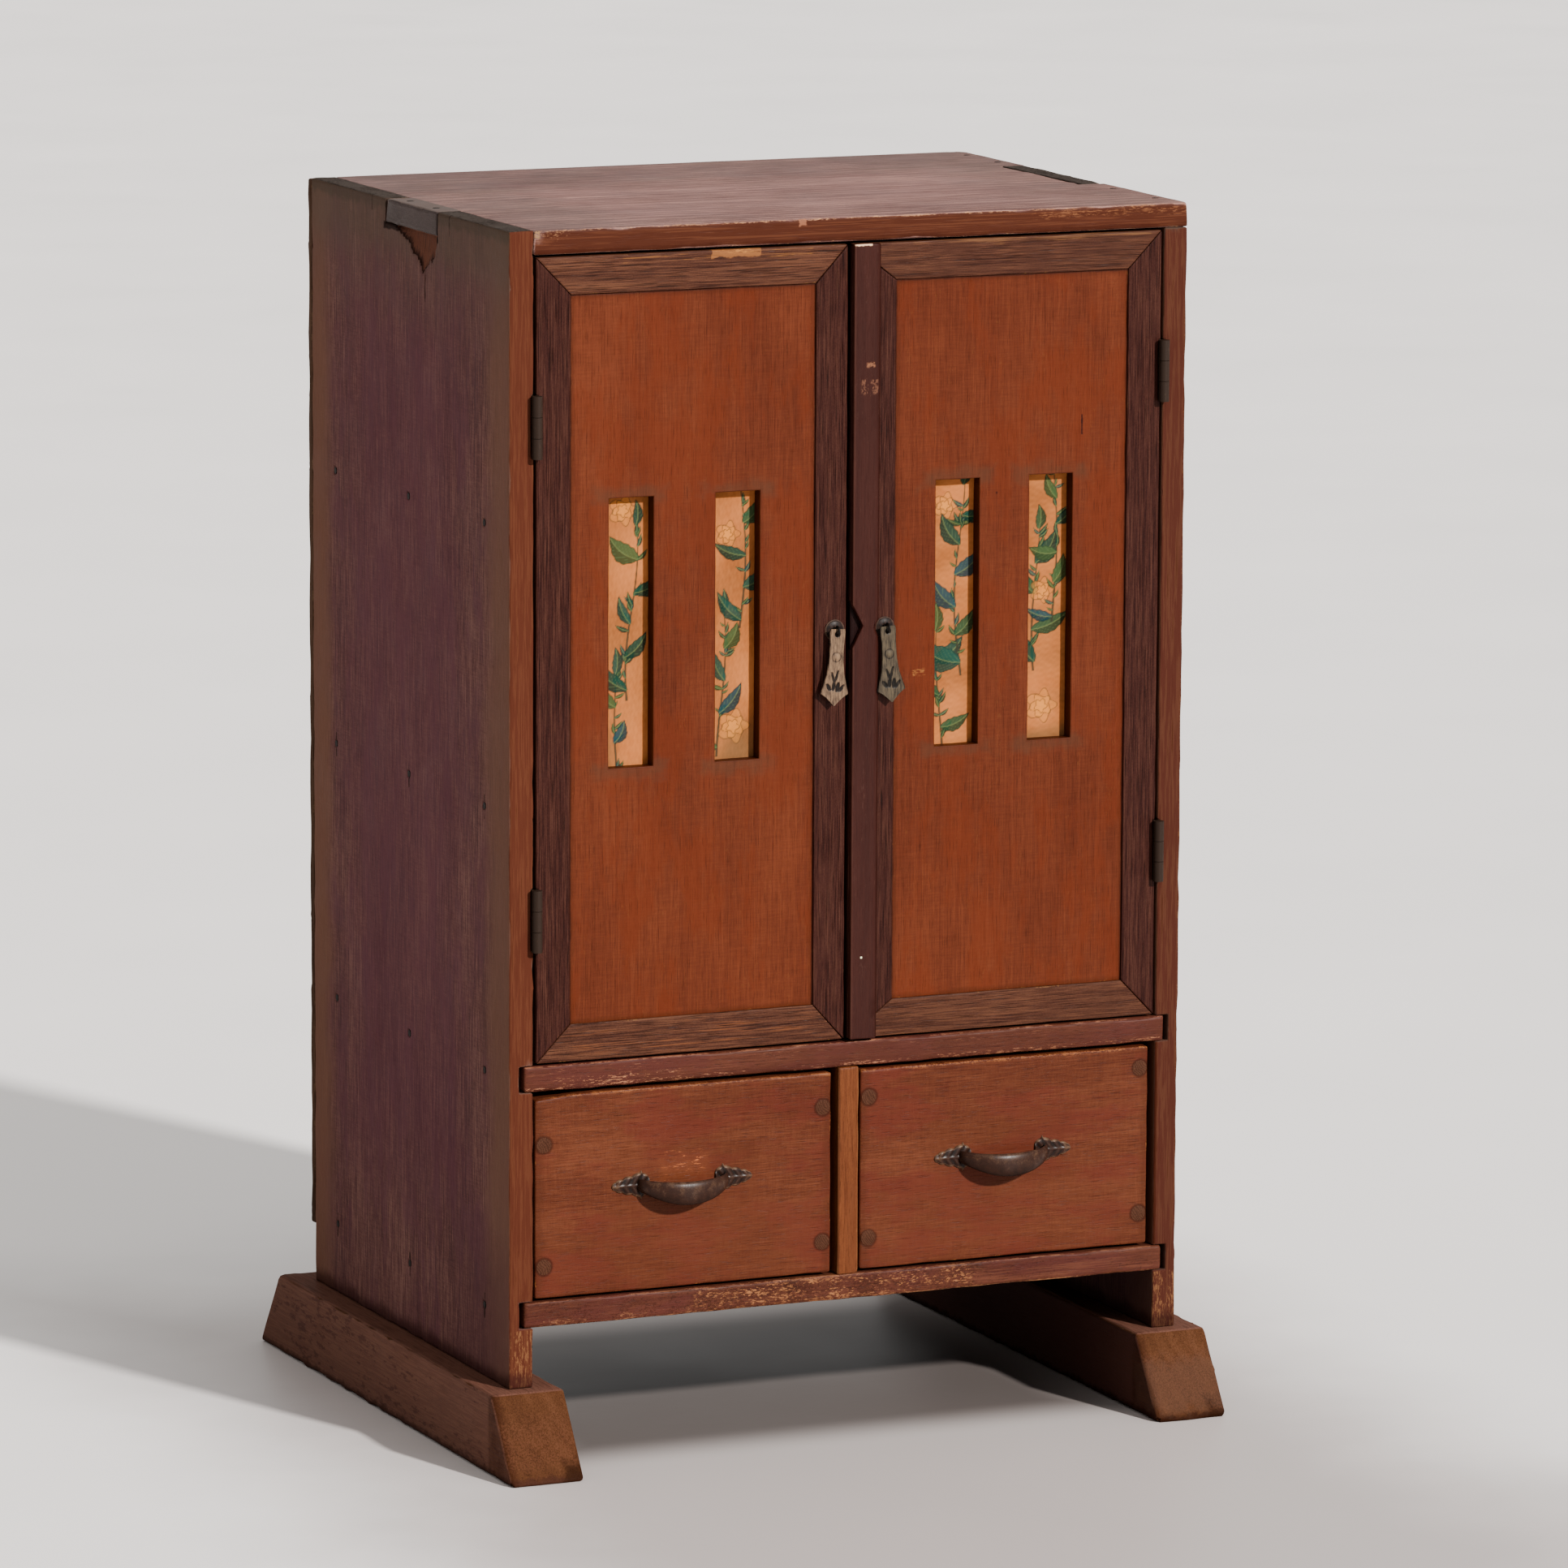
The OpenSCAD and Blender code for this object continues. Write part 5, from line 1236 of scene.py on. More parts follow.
@dataclass
class Print:
    """The printed paper behind both slots of a door."""

    node: str
    body: str
    seed: int
    sprigs: tuple[Sprig, ...]
    step: float = 0.55

    def build(self, shop: Workshop) -> None:
        """Makes the sheet: a fine grid in front, painted point by point, and a plain rear.

        The paper is a peach ground with slow blots and a grey-green wash near its foot, then
        the sprigs.
        """
        low, high = cad_box(self.node)

        def lines(axis: int) -> np.ndarray:
            """Even places along an axis."""
            return np.linspace(low[axis], high[axis], int((high[axis] - low[axis]) / self.step) + 1)

        xs, zs = lines(0), lines(2)
        x, z = (m.ravel() for m in np.meshgrid(xs, zs))
        points = np.stack([x, np.full_like(x, low[1]), z], 1)
        blots = ripple(points, 40, self.seed)[:, None]
        grit = ripple(points, 3, self.seed + 1)[:, None]
        wash = 0.5 * ease(low[2] + 60 - points[:, 2] - 50 * blots[:, 0], 0, 40)
        paper = np.array(tone("cc9066")) * (0.75 + 0.5 * blots + 0.16 * (grit - 0.5))
        sheet = Sheet(x, z, paper)
        sheet.lay(wash, "7c7050")
        for sprig in self.sprigs:
            sprig.paint(sheet)
        wide, tall = len(xs), len(zs)
        i = (np.arange(tall - 1)[:, None] * wide + np.arange(wide - 1)[None, :]).ravel()
        faces = np.stack([i, i + 1, i + 1 + wide, i + wide], 1).tolist()
        start = len(points)
        rear = np.array([[low[0], high[1], low[2]], [high[0], high[1], low[2]],
                         [high[0], high[1], high[2]], [low[0], high[1], high[2]]])
        bottom = list(range(wide))
        top = list(range((tall - 1) * wide, tall * wide))
        left = list(range(0, tall * wide, wide))
        right = list(range(wide - 1, tall * wide, wide))
        sides = [bottom[::-1] + [start, start + 1], top + [start + 2, start + 3],
                 left + [start + 3, start], right[::-1] + [start + 1, start + 2],
                 [start + 3, start + 2, start + 1, start]]
        colour = np.concatenate([np.c_[sheet.colour, np.ones(start)], np.tile([*tone("cf9a74"), 1.0], (4, 1))])
        shape = Shape(np.concatenate([points, rear]), [tuple(f) for f in faces + sides], {"paint": colour})
        g = Graph("printed_" + self.node, Specular_IOR_Level=0.05)
        paint = g.node("ShaderNodeAttribute", {"attribute_name": "paint"}).outputs["Color"]
        stain = g.noise((14.0,) * 3, 4.0, 0.6, self.seed)
        fluff = g.noise((0.5,) * 3, 2.0, 0.5, self.seed + 1)
        colour = g.mix(stain.ease(0.4, 0.75) * 0.5, paint, (0.75, 0.6, 0.45), "MULTIPLY")
        finish = g.finish(colour, 0.7 + (stain - 0.5) * 0.2, fluff, 0.03)
        shop.piece("printed_" + self.node, shape, self.body, finish, [self.node], crease=30)


# ---- the doors


@dataclass
class Door:
    """A mitred frame with a slotted panel, hung on two hinges."""

    side: str
    hinge_x: float
    free_x: float
    meet_w: float
    hinges: tuple[float, float]
    slots: tuple[float, float]
    seed: int
    prints: Print
    hinge_half: float = 19.0
    leaf_deep: float = 14.0
    hinge_w: float = 22.4
    rail_w: float = 23.0
    low_z: float = 250.5
    high_z: float = 740.5
    rear_y: float = -153.0
    slot_w: float = 29.0
    slot_z: tuple[float, float] = (428.5, 593.0)
    panel_y: tuple[float, float] = (-169.5, -160.5)
    gap: float = 0.15
    zone: float = 60.0

    @property
    def way(self) -> int:
        """1 where the door runs to the right from its hinges, and -1 where it runs to the left."""
        return 1 if self.free_x > self.hinge_x else -1

    @property
    def body(self) -> str:
        """The body that the door's pieces ride on."""
        return f"{self.side}_door"

    def ends(self, place: np.ndarray, low: float, high: float, start_cut: np.ndarray,
             end_cut: np.ndarray) -> np.ndarray:
        """Shifts both ends of a run inwards by their cuts, fading to nothing over the zone.

        Args:
            place: places along the run.
            low: its start.
            high: its end.
            start_cut: how far the start moves in, at each point.
            end_cut: how far the end moves in.

        Returns:
            The new places.
        """
        start = np.clip(1 - (place - low) / self.zone, 0, 1)
        end = np.clip(1 - (high - place) / self.zone, 0, 1)
        return place + start_cut * start - end_cut * end

    def member(self, shop: Workshop, part: str, wood: Wood, axis: Axis, across: Span, along: Span,
               shares: Span, seed: int, marks: Sequence[Mark] = (), cuts: Sequence[Box] = ()) -> None:
        """Makes a stile or a rail of the frame, whose ends are cut along the mitres.

        Each end moves in by its share times the place across, counted from the outer edge.

        Args:
            shop: the workshop.
            part: the part's name in the CAD nodes.
            wood: its wood.
            axis: Axis.Z for a stile and Axis.X for a rail.
            across: place of its outer edge and of its inner edge.
            along: its lowest and highest end.
            shares: width of the member that it meets at each end.
            seed: moves its patterns.
            marks: patches.
            cuts: hinge recesses.
        """
        run, level = axis.value, 2 - axis.value
        outer, width = across[0], abs(across[1] - across[0])

        def mitre(points: np.ndarray) -> np.ndarray:
            """Moves the ends in."""
            share = np.clip(np.abs(points[:, level] - outer) / width, 0, 1)
            points[:, run] = self.ends(points[:, run], *along, *(share * w + self.gap for w in shares))
            return points

        low, high = np.full(3, FRONT_Y), np.full(3, self.rear_y)
        low[[run, level]], high[[run, level]] = (along[0], min(across)), (along[1], max(across))
        shop.board(f"{self.side}_{part}", self.body, wood, axis, seed, marks, cuts, (), 0.55, mitre, box=(low, high),
                   cell=18.0, worn=0.3)

    def panel(self, shop: Workshop) -> None:
        """Makes the panel with its two slots and the grey smudges at their corners."""
        x0, x1 = sorted((self.hinge_x + self.way * (self.hinge_w - 0.4), self.free_x - self.way * (self.meet_w - 0.4)))
        low = np.array([x0, self.panel_y[0], self.low_z + self.rail_w - 0.4])
        high = np.array([x1, self.panel_y[1], self.high_z - self.rail_w + 0.4])
        half = self.slot_w / 2
        cuts = [((s - half, -200, self.slot_z[0]), (s + half, -100, self.slot_z[1])) for s in self.slots]
        wide, tall = (x0, x1), (low[2], high[2])
        foot, head = self.slot_z
        marks = []
        for s in self.slots:
            marks += [Mark((s - half - 9, s + half + 9), SUNK, (z - 4, z + 4), "6a4834", 0.45, 9.0, 5.0, 13.0)
                      for z in (foot - 2, head + 2)]
            # The first rim paints the slots' inner walls dark: painted shade in the recesses. The second darkens a
            # wider rim round each slot.
            for rim, deep, rest in ((0.3, (-168.6, -160), ("3c2014", 0.92, 1.0)),
                                    (0.8, SUNK, ("602c18", 0.6, 1.4, 0.4, 7.0))):
                marks.append(Mark((s - half - rim, s + half + rim), deep, (foot - rim, head + rim), *rest))
        marks += [
            # The first four patches darken bands along the panel's edges. The next three are dark lines at its left,
            # right and top edges: painted shade where the frame stands proud over the panel.
            Mark((x0, x0 + 3), SUNK, tall, "663018", 0.5, 3.0, 1.0, 18.0),
            Mark((x1 - 3, x1), SUNK, tall, "6b3018", 0.45, 3.0, 1.0, 18.0),
            Mark(wide, SUNK, (low[2], low[2] + 3), "663018", 0.5, 3.0, 1.5, 18.0),
            Mark(wide, SUNK, (high[2] - 3, high[2]), "5e2b16", 0.5, 3.0, 1.0, 18.0),
            Mark((x0, x0 + 1.3), SUNK, tall, "3a1e12", 0.7, 0.8, 0.4, 9.0),
            Mark((x1 - 1.3, x1), SUNK, tall, "3a1e12", 0.6, 0.8, 0.4, 9.0),
            Mark(wide, SUNK, (high[2] - 1.5, high[2]), "3a1e12", 0.6, 0.8, 0.4, 9.0),
            Mark(wide, (-172, -169), tall, "a4683c", 0.35, 10.0, 2.0, 18.0, 0, 0.08, (0.8, 1.0, 3.0)),
        ]
        if self.side == "right":
            marks += [Mark((154.4, 155.6), SUNK, (616.6, 629.2), "2c120a", 0.95, 0.7, 0.3, 5.0),
                      Mark((42, 50), SUNK, (473, 477), "c08a5c", 0.6, 1.0, 1.0, 3.0, 0, 0.35, (3.0, 1.0, 0.8)),
                      Mark((97, 98.2), SUNK, (582.8, 584), "3a1c10", 0.8, 0.6)]
        shop.board(f"{self.side}_panel", self.body, PANEL, Axis.Z, self.seed + 4, marks, cuts, (), 0.5,
                   box=(low, high), cell=16.0, worn=0.25)

    def build(self, shop: Workshop) -> None:
        """Makes all pieces of the door."""
        x0, x1 = sorted((self.hinge_x - self.way, self.hinge_x + self.way * 1.2))
        recesses = [((x0, -200, z - self.hinge_half), (x1, FRONT_Y + self.leaf_deep, z + self.hinge_half))
                    for z in self.hinges]
        tall, wide = (self.low_z, self.high_z), tuple(sorted((self.hinge_x, self.free_x)))
        hinge = (self.hinge_x, self.hinge_x + self.way * self.hinge_w)
        free = (self.free_x, self.free_x - self.way * self.meet_w)
        rails, stiles = (self.rail_w,) * 2, (self.hinge_w, self.meet_w)[::self.way]
        self.member(shop, "hinge_stile", FRAME, Axis.Z, hinge, tall, rails, self.seed, (), recesses)
        # A dark patch on the meeting stile behind the strip's notch: painted shadow in the notch.
        hollow = [Mark((-3, 7.5), FACE, (492, 522), "24120f", 0.9, 1.0)]
        self.member(shop, "meeting_stile", FRAME, Axis.Z, free, tall, rails, self.seed + 1, hollow)
        if self.side == "left":
            top = [Mark((-150, -28), FACE, (736, 739), "b88250", 0.7, 2.0, 2.0, 12.0, 1.3),
                   Mark((-93.4, -61), FACE, (736, 742), "b47c52", 0.9, 0.8, 0.9, 6.0, 0, 0.85, (9, 1, 1)),
                   Mark((-91, -66), FACE, (738.6, 740.4), "cc9c70", 0.8, 0.8, 0.8, 5.0, 0, 0.5, (5, 1, 1))]
            bottom = [Mark((-185, -24), FACE, (254, 268), "b06a3e", 0.45, 5.0, 3.0, 16.0, 1.5)]
        else:
            top = [Mark((20, 208), FACE, (712, 743), "583428", 0.5, 20.0, 8.0, 24.0),
                   Mark((40, 200), FACE, (737.5, 742), "a87850", 0.5, 2.0, 1.5, 14.0, 0.9)]
            bottom = [Mark((20, 208), FACE, (248, 275), "5a3527", 0.4, 20.0, 8.0, 24.0)]
        for k, (part, edge, way, marks) in enumerate((("top_rail", self.high_z, -1, top),
                                                      ("bottom_rail", self.low_z, 1, bottom))):
            self.member(shop, part, RAIL, Axis.X, (edge, edge + way * self.rail_w), wide, stiles, self.seed + 2 + k,
                        marks)
        self.panel(shop)
        self.prints.build(shop)
        shop.board(f"{self.side}_backing", self.body, INNER, Axis.Z, self.seed + 5, bevel=0.4, worn=0.2)
        brass = HINGE.dress(f"{self.side}_hinge_brass")
        shop.keep(f"{self.side}_door_leaves", brass)
        shop.keep(f"{self.side}_leaf_screws", brass)


@dataclass
class MeetingStrip:
    """The moulded strip on the right door, notched where fingers reach behind it."""

    left: float = -1.0
    right: float = 17.0
    bevel: float = 1.6
    notch_z: float = 507.0
    notch_half: float = 13.5
    notch_deep: float = 7.0
    seat: tuple[float, float, float] = (22.0, 505.0, 6.9)

    def build(self, shop: Workshop) -> None:
        """Makes the strip.

        Its left edge moves in by the notch, which falls off evenly from its middle. Its right
        edge moves in to the circle of the pull's seat. The front of the right edge is bevelled.
        """
        low = np.array([self.left, -175.0, 250.5])
        high = np.array([self.right, -171.0, 740.5])

        def carve(points: np.ndarray) -> np.ndarray:
            """Cuts notch, seat and bevel."""
            x, y, z = points.T
            share = (x - self.left) / (self.right - self.left)
            notch = self.notch_deep * np.clip(1 - np.abs(z - self.notch_z) / self.notch_half, 0, 1)
            cx, cz, r = self.seat
            inside = np.clip(r * r - (z - cz) ** 2, 0, None)
            seat = np.clip(self.right - (cx - np.sqrt(inside)), 0, None) * (inside > 0)
            slope = self.bevel * np.clip((-173.4 - y) / 1.6, 0, 1)
            points[:, 0] = x + notch * (1 - share) - seat * share ** 3 - slope * (share > 0.9)
            return points

        marks = [
            Mark((-0.6, 10.6), STRIP_FACE, (739.6, 742), "e0d0c4", 0.95, 0.8, 0.8, 4.0),
            Mark((7.3, 12.7), STRIP_FACE, (665.5, 668.3), "b98a6e", 0.7, 1.0, 0.8, 4.0, 0, 0.6),
            Mark((4.1, 15), STRIP_FACE, (648.6, 658), "9c6c54", 0.7, 1.4, 1.2, 4.0, 0, 0.5, (1.6, 1.6, 3.0)),
            Mark((5.6, 6.6), STRIP_FACE, (301, 302), "f0e4dc", 0.95, 0.5),
            Mark((12, 17), (-176, -172), (264, 275), "3c1e18", 0.6, 3.0, 1.5, 6.0),
            Mark((15.4, 17.4), (-176, -171), (250, 742), "3c1e18", 0.7, 0.8, 0.2, 9.0),
            Mark((-1, 0.2), (-176, -171), (250, 742), "6a4034", 0.5, 0.8, 0.3, 9.0),
            Mark((0, 16), STRIP_FACE, (250, 742), "7a5244", 0.35, 4.0, 2.0, 9.0, 0, 0.12, (0.8, 1.0, 5.0)),
        ]
        shop.board("meeting_strip", "right_door", STRIP, Axis.Z, 61, marks, (), (), 0.45, carve, box=(low, high),
                   cell=12.0, worn=0.25, rim=1.6,
                   fine=[(2, 493.5, 520.5, 1.5), (1, -173.4, -173.3, 1.0), (0, 13.0, 13.1, 1.0)])


@dataclass
class HangingPull:
    """A pressed plate hanging from a ring in a domed rosette."""

    side: str
    x: float
    z: float
    metal: Metal
    lean: float
    hang_y: float = -176.0
    top: float = 1.2
    tip: float = -46.0
    outline: tuple[tuple[float, float], ...] = (
        (-46.0, 0.3), (-42.8, 3.7), (-40.7, 6.1), (-38.6, 9.3), (-36.5, 8.9), (-34.0, 8.0),
        (-26.7, 6.0), (-19.3, 5.0), (-9.2, 4.8), (-1.0, 5.3), (1.2, 4.9))
    cuts: tuple[tuple[float, float, float, float, float], ...] = (
        (-0.6, -31.5, -2.6, -25.5, 0.8), (-0.4, -31.5, 1.8, -24.5, 0.8), (-1.2, -36.0, -0.6, -31.0, 1.3),
        (1.4, -36.5, 2.2, -32.0, 1.5), (-3.2, -35.8, -5.4, -32.8, 1.4), (3.0, -36.8, 5.6, -33.4, 1.2))

    def engraving(self, x: np.ndarray, z: np.ndarray) -> np.ndarray:
        """Depth share of the leaf cuts: 1 within a cut's half width of its line, eased to 0."""
        depth = np.zeros_like(x)
        for x0, z0, x1, z1, half in self.cuts:
            along = np.array([x1 - x0, z1 - z0])
            t = np.clip(((x - x0) * along[0] + (z - z0) * along[1]) / (along @ along), 0, 1)
            gap = np.hypot(x - x0 - t * along[0], z - z0 - t * along[1])
            width = half * (0.35 + 0.65 * np.sin(np.pi * (0.15 + 0.8 * t)))
            depth = np.maximum(depth, 1 - ease(gap, width * 0.7, width * 0.7 + 0.45))
        hole = 1 - ease(np.hypot(x, z + 1.9), 1.5, 2.2)
        return np.maximum(depth, hole)

    def plate(self, shop: Workshop) -> None:
        """Makes the plate.

        Each ring is a level slice: the front runs from one edge to the other, with its place
        towards the viewer set by a rim, a dished middle, a round boss and the engraved leaves,
        and the rear is flat.
        """
        rows, half_count = 120, 40
        z = np.linspace(self.tip, self.top, rows)
        z_known, w_known = np.array(self.outline).T
        wide = np.interp(z, z_known, w_known)
        t = np.linspace(-1, 1, half_count)
        x = wide[:, None] * t[None, :]
        zz = np.repeat(z[:, None], half_count, 1)
        cut = self.engraving(x, zz)
        boss = 1 - ease(np.hypot(x, zz + 16.0), 0.6, 2.4)
        ring = 1 - ease(np.abs(np.hypot(x, zz + 16.0) - 2.9), 0.1, 0.5)
        rim = ease(np.abs(t)[None, :] * np.ones_like(x), 0.78, 0.92)
        raised = 0.12 * rim + 0.3 * boss - 0.1 * ring - 0.38 * cut + 0.06 * ripple(
            np.stack([x.ravel(), zz.ravel(), 0 * x.ravel()], 1), 6, 3).reshape(x.shape)
        edge = ease(1 - np.abs(t)[None, :] * np.ones_like(x), 0.0, 0.09)
        front = -0.15 - edge * (0.3 + raised)
        # Darker along the outer edge, lighter on the boss, dark in the ring groove and the cuts. The ring's hole is
        # only a shallow dent, and its dark is painted shade.
        ridge = 0.62 - 0.4 * (1 - edge) + 0.3 * boss - 0.35 * ring - 0.9 * cut
        shape = pressed(x, zz, front, 0.45, ridge)
        name = f"{self.side}_plate"
        c, s = math.cos(math.radians(self.lean)), math.sin(math.radians(self.lean))
        shape.points = shape.points @ np.array([[c, 0, s], [0, 1, 0], [-s, 0, c]])
        shop.piece(name, shape.moved(self.x, self.hang_y, self.z), f"{self.side}_drop",
                   self.metal.dress(name), [f"{self.side}_drop_plate"], crease=50)

    def build(self, shop: Workshop) -> None:
        """Makes plate and rosette, and finishes the ring."""
        self.plate(shop)
        profile = [(6.45, 0.0), (6.5, 0.3), (6.35, 0.62), (5.9, 0.72), (5.5, 0.6), (5.1, 0.66), (4.2, 1.05),
                   (3.0, 1.32), (2.0, 1.38), (1.6, 1.2), (1.45, 0.7), (1.3, 0.4)]
        dome = turned(profile)
        reach = np.hypot(dome.points[:, 0], dome.points[:, 2])
        turn = np.arctan2(dome.points[:, 2], dome.points[:, 0])
        # The small pit at the middle is painted dark for the ring's hole: painted shade.
        dome.values["ridge"] = np.clip(0.25 + 0.35 * (reach > 5.7) + 0.12 * np.cos(8 * turn) * (reach < 5)
                                       - 0.4 * (reach < 1.7), 0, 1)
        rosette = ROSETTE.dress(f"{self.side}_rosette_bronze")
        shop.piece(f"{self.side}_rosette_dome", dome.moved(self.x, FRONT_Y, self.z), f"{self.side}_door",
                   rosette, [f"{self.side}_rosette"])
        shop.keep(f"{self.side}_ring", rosette)


# ---- the drawers


@dataclass
class Drawer:
    """A drawer box with a plugged front and a cast bow pull."""

    side: str
    left: float
    high_plugs: tuple[float, float]
    seed: int
    width: float = 196.5
    low: float = 105.0
    high: float = 230.5
    thick: float = 14.0
    plug_in: float = 5.8
    plug_low: float = 124.5
    span: float = 57.0
    out: float = 17.0
    grip_high: tuple[float, float] = (8.0, 14.5)
    grip_thick: float = 4.4
    grip_sag: float = 4.5
    root_lobe: float = 8.0
    half_pull: float = 46.5
    pull_rise: float = 2.8
    nail_y: float = 151.2
    nail_z: tuple[float, float] = (139.3, 193.3)
    pull_shift: float = 1.5

    @property
    def body(self) -> str:
        """The body that the drawer's pieces ride on."""
        return f"{self.side}_drawer"

    def node(self, part: str) -> str:
        """Full name of one of the drawer's CAD nodes."""
        return f"{self.side}_drawer_{part}"

    def front(self, shop: Workshop) -> None:
        """Makes the front, with scuffs above the pull."""
        x0, x1 = self.left, self.left + self.width
        low, high = np.array([x0, FRONT_Y, self.low]), np.array([x1, FRONT_Y + self.thick, self.high])
        mid = (x0 + x1) / 2 - self.pull_shift
        marks = [
            Mark((x0, x0 + 5), FACE, (self.low, self.high), "66341f", 0.5, 5.0, 2.0, 20.0),
            Mark((x1 - 5, x1), FACE, (self.low, self.high), "66341f", 0.45, 5.0, 2.0, 20.0),
            Mark((x0, x1), FACE, (self.high - 1.6, self.high), "bc8058", 0.6, 1.2, 0.8, 7.0, 0, 0.5),
            Mark((mid - 44, mid + 44), FACE, (150, 192), "723a22", 0.35, 20.0, 8.0, 20.0),
            Mark((x0 + 12, x1 - 12), FACE, (112, 150), "8c4c30", 0.35, 24.0, 8.0, 30.0),
        ]
        for x, z in self.plug_places():
            marks.append(Mark((x - 6, x + 6), None, (z - 6, z + 6), "3c2016", 0.65, 1.6, 0.5, 8.0, disc=True))
        if self.side == "left":
            marks += [Mark((-122, -98), FACE, (174, 187), "d8a084", 0.8, 9.0, 3.0, 6.0, 0, 0.2, (6.0, 1.6, 1.0)),
                      Mark((-125, -95), FACE, (172, 184), "9c5838", 0.5, 9.0, 3.0, 8.0)]

        def sag(points: np.ndarray) -> np.ndarray:
            """Lowers the upper edge towards the left end of the left front."""
            if self.side == "left":
                end = ease(x0 + 34 - points[:, 0], 0, 34)
                points[:, 2] -= 2.2 * end * ease(points[:, 2], self.high - 20, self.high)
            return points

        shop.board(self.node("front"), self.body, DRAWER, Axis.X, self.seed, marks, (), (), 0.9, sag,
                   box=(low, high), worn=0.5)

    def plug_places(self) -> list[tuple[float, float]]:
        """Places of the four plugs: both lower ones, then the upper left and right."""
        xs = (self.left + self.plug_in, self.left + self.width - self.plug_in)
        return [*((x, self.plug_low) for x in xs), *zip(xs, self.high_plugs)]

    def plugs(self, shop: Workshop) -> None:
        """Makes the plugs: slightly domed discs that stand a little proud, like swollen end grain."""
        profile = [(4.9, -4.0), (4.95, -0.2), (4.8, 0.08), (4.2, 0.16), (2.4, 0.2), (0.8, 0.22)]
        parts = [turned(profile, 32).moved(x, FRONT_Y, z) for x, z in self.plug_places()]
        low, high = cad_box(self.node("plugs"))
        finish = PLUG.dress(self.node("plug_wood"), low, high, Axis.Y, self.seed + 1)
        shop.piece(self.node("end_plugs"), Shape.join(parts), self.body, finish, [self.node("plugs")])

    def box_parts(self, shop: Workshop) -> None:
        """Makes walls, rear and floor of the box."""
        for k, part in enumerate(("left_wall", "right_wall")):
            low, high = cad_box(self.node(part))
            face, inward = (low[0], 1) if k == 0 else (high[0], -1)
            dents = [Dent((face, self.nail_y, z), 2.5, 0.35, 0, inward) for z in self.nail_z]
            shop.board(self.node(part), self.body, DRAWER_BOX, Axis.Y, self.seed + 2 + k, (), (), dents, 0.7,
                       worn=0.4, cell=20.0)
        shop.board(self.node("rear"), self.body, DRAWER_BOX, Axis.X, self.seed + 4, bevel=0.7, worn=0.4)
        shop.board(self.node("floor"), self.body, DRAWER_BOX, Axis.X, self.seed + 5, bevel=0.4, worn=0.1)
        shop.keep(self.node("nails"), IRON.dress(self.node("nail_iron")))

    def grip(self) -> Shape:
        """The bow of the pull.

        Its middle line is half an ellipse from one end to the other. Each ring across it is an
        ellipse whose height grows with the squared sine of the place along the bow, flattened
        behind so that it is a crescent.
        """
        rings, sides = 56, 32
        t = np.linspace(0, np.pi, rings)[:, None]
        a = np.linspace(0, 2 * np.pi, sides, endpoint=False)[None, :]
        x = -self.span / 2 * np.cos(t)
        y = -0.6 - (self.out - self.grip_thick / 2) * np.sin(t)
        dx, dy = self.span / 2 * np.sin(t), -self.out * np.cos(t)
        size = np.hypot(dx, dy)
        nx, ny = dy / size, -dx / size
        high = self.grip_high[0] + (self.grip_high[1] - self.grip_high[0]) * np.sin(t) ** 2
        thick = self.grip_thick / 2 * (0.75 + 0.35 * np.sin(t) ** 2)
        across = np.cos(a) * np.where(np.cos(a) < 0, 0.8, 1.0) * thick
        px, py = x + nx * across, y + ny * across
        pz = high / 2 * np.sin(a) - self.grip_sag * np.sin(t) ** 2
        # Lighter along the upper side of the bow's middle and darker under it: a painted highlight and painted shade.
        ridge = 0.42 + 0.14 * np.sin(a) * np.sin(t) ** 2 + 0.06 * np.cos(a) + 0 * t
        return loft(np.stack([px, py, pz], -1)[:, ::-1], np.clip(ridge, 0, 1)[:, ::-1])

    def leaf(self) -> Shape:
        """The cast leaf at the right end of the pull, with its root at x = 0.

        Its half width follows three lobes and a point, with two leaflets at its root. The front
        is domed and carries a midrib and slanting veins, and the rear is flat.
        """
        reach = self.half_pull - self.span / 2
        rows, count = 110, 44
        x = np.linspace(-6.5, reach, rows)
        lobes = ((-0.5, 7.6), (reach * 0.38, 5.8), (reach * 0.68, 4.2), (reach - 2.7, 2.7))
        wide = np.zeros_like(x) + 0.25
        for centre, r in lobes:
            wide = np.maximum(wide, np.sqrt(np.clip(r * r - (x - centre) ** 2, 0, None)))
        wide = np.maximum(wide, self.root_lobe + 1.2 - 1.9 * np.abs(x + 1.4))
        t = np.linspace(-1, 1, count)[None, :]
        z = wide[:, None] * t
        xx = np.repeat(x[:, None], count, 1)
        veins = np.cos((xx + 0.7 * np.abs(z)) * 1.25) * np.minimum(1, np.abs(z) / 2)
        rib = np.exp(-(z / 0.8) ** 2)
        dome = np.sqrt(np.clip(1 - t * t, 0, 1))
        lift = 0.5 + 0.9 * dome * np.minimum(1, wide[:, None] / 4) + 0.2 * veins * dome + 0.3 * rib * dome
        front = -0.1 - lift * ease(1 - np.abs(t) * np.ones_like(z), 0.0, 0.12)
        rim = ease(np.abs(t) * np.ones_like(z), 0.7, 0.9)
        ridge = 0.3 + 0.15 * veins + 0.2 * rib + 0.45 * rim + 0.3 * ease(xx, reach - 9, reach)
        return pressed(xx, z, front, 0.05, ridge, flip=True)

    def pull(self, shop: Workshop) -> None:
        """Joins grip and leaves into the pull."""
        end = self.leaf().moved(self.span / 2, 0, 0)
        shape = Shape.join([self.grip(), end, end.mirrored()])
        mid_x = self.left + self.width / 2 - self.pull_shift
        mid_z = (self.low + self.high) / 2 + self.pull_rise
        shop.piece(self.node("bow_pull"), shape.moved(mid_x, FRONT_Y, mid_z), self.body,
                   BRONZE.dress(self.node("pull_bronze")), [self.node("pull")], crease=60)

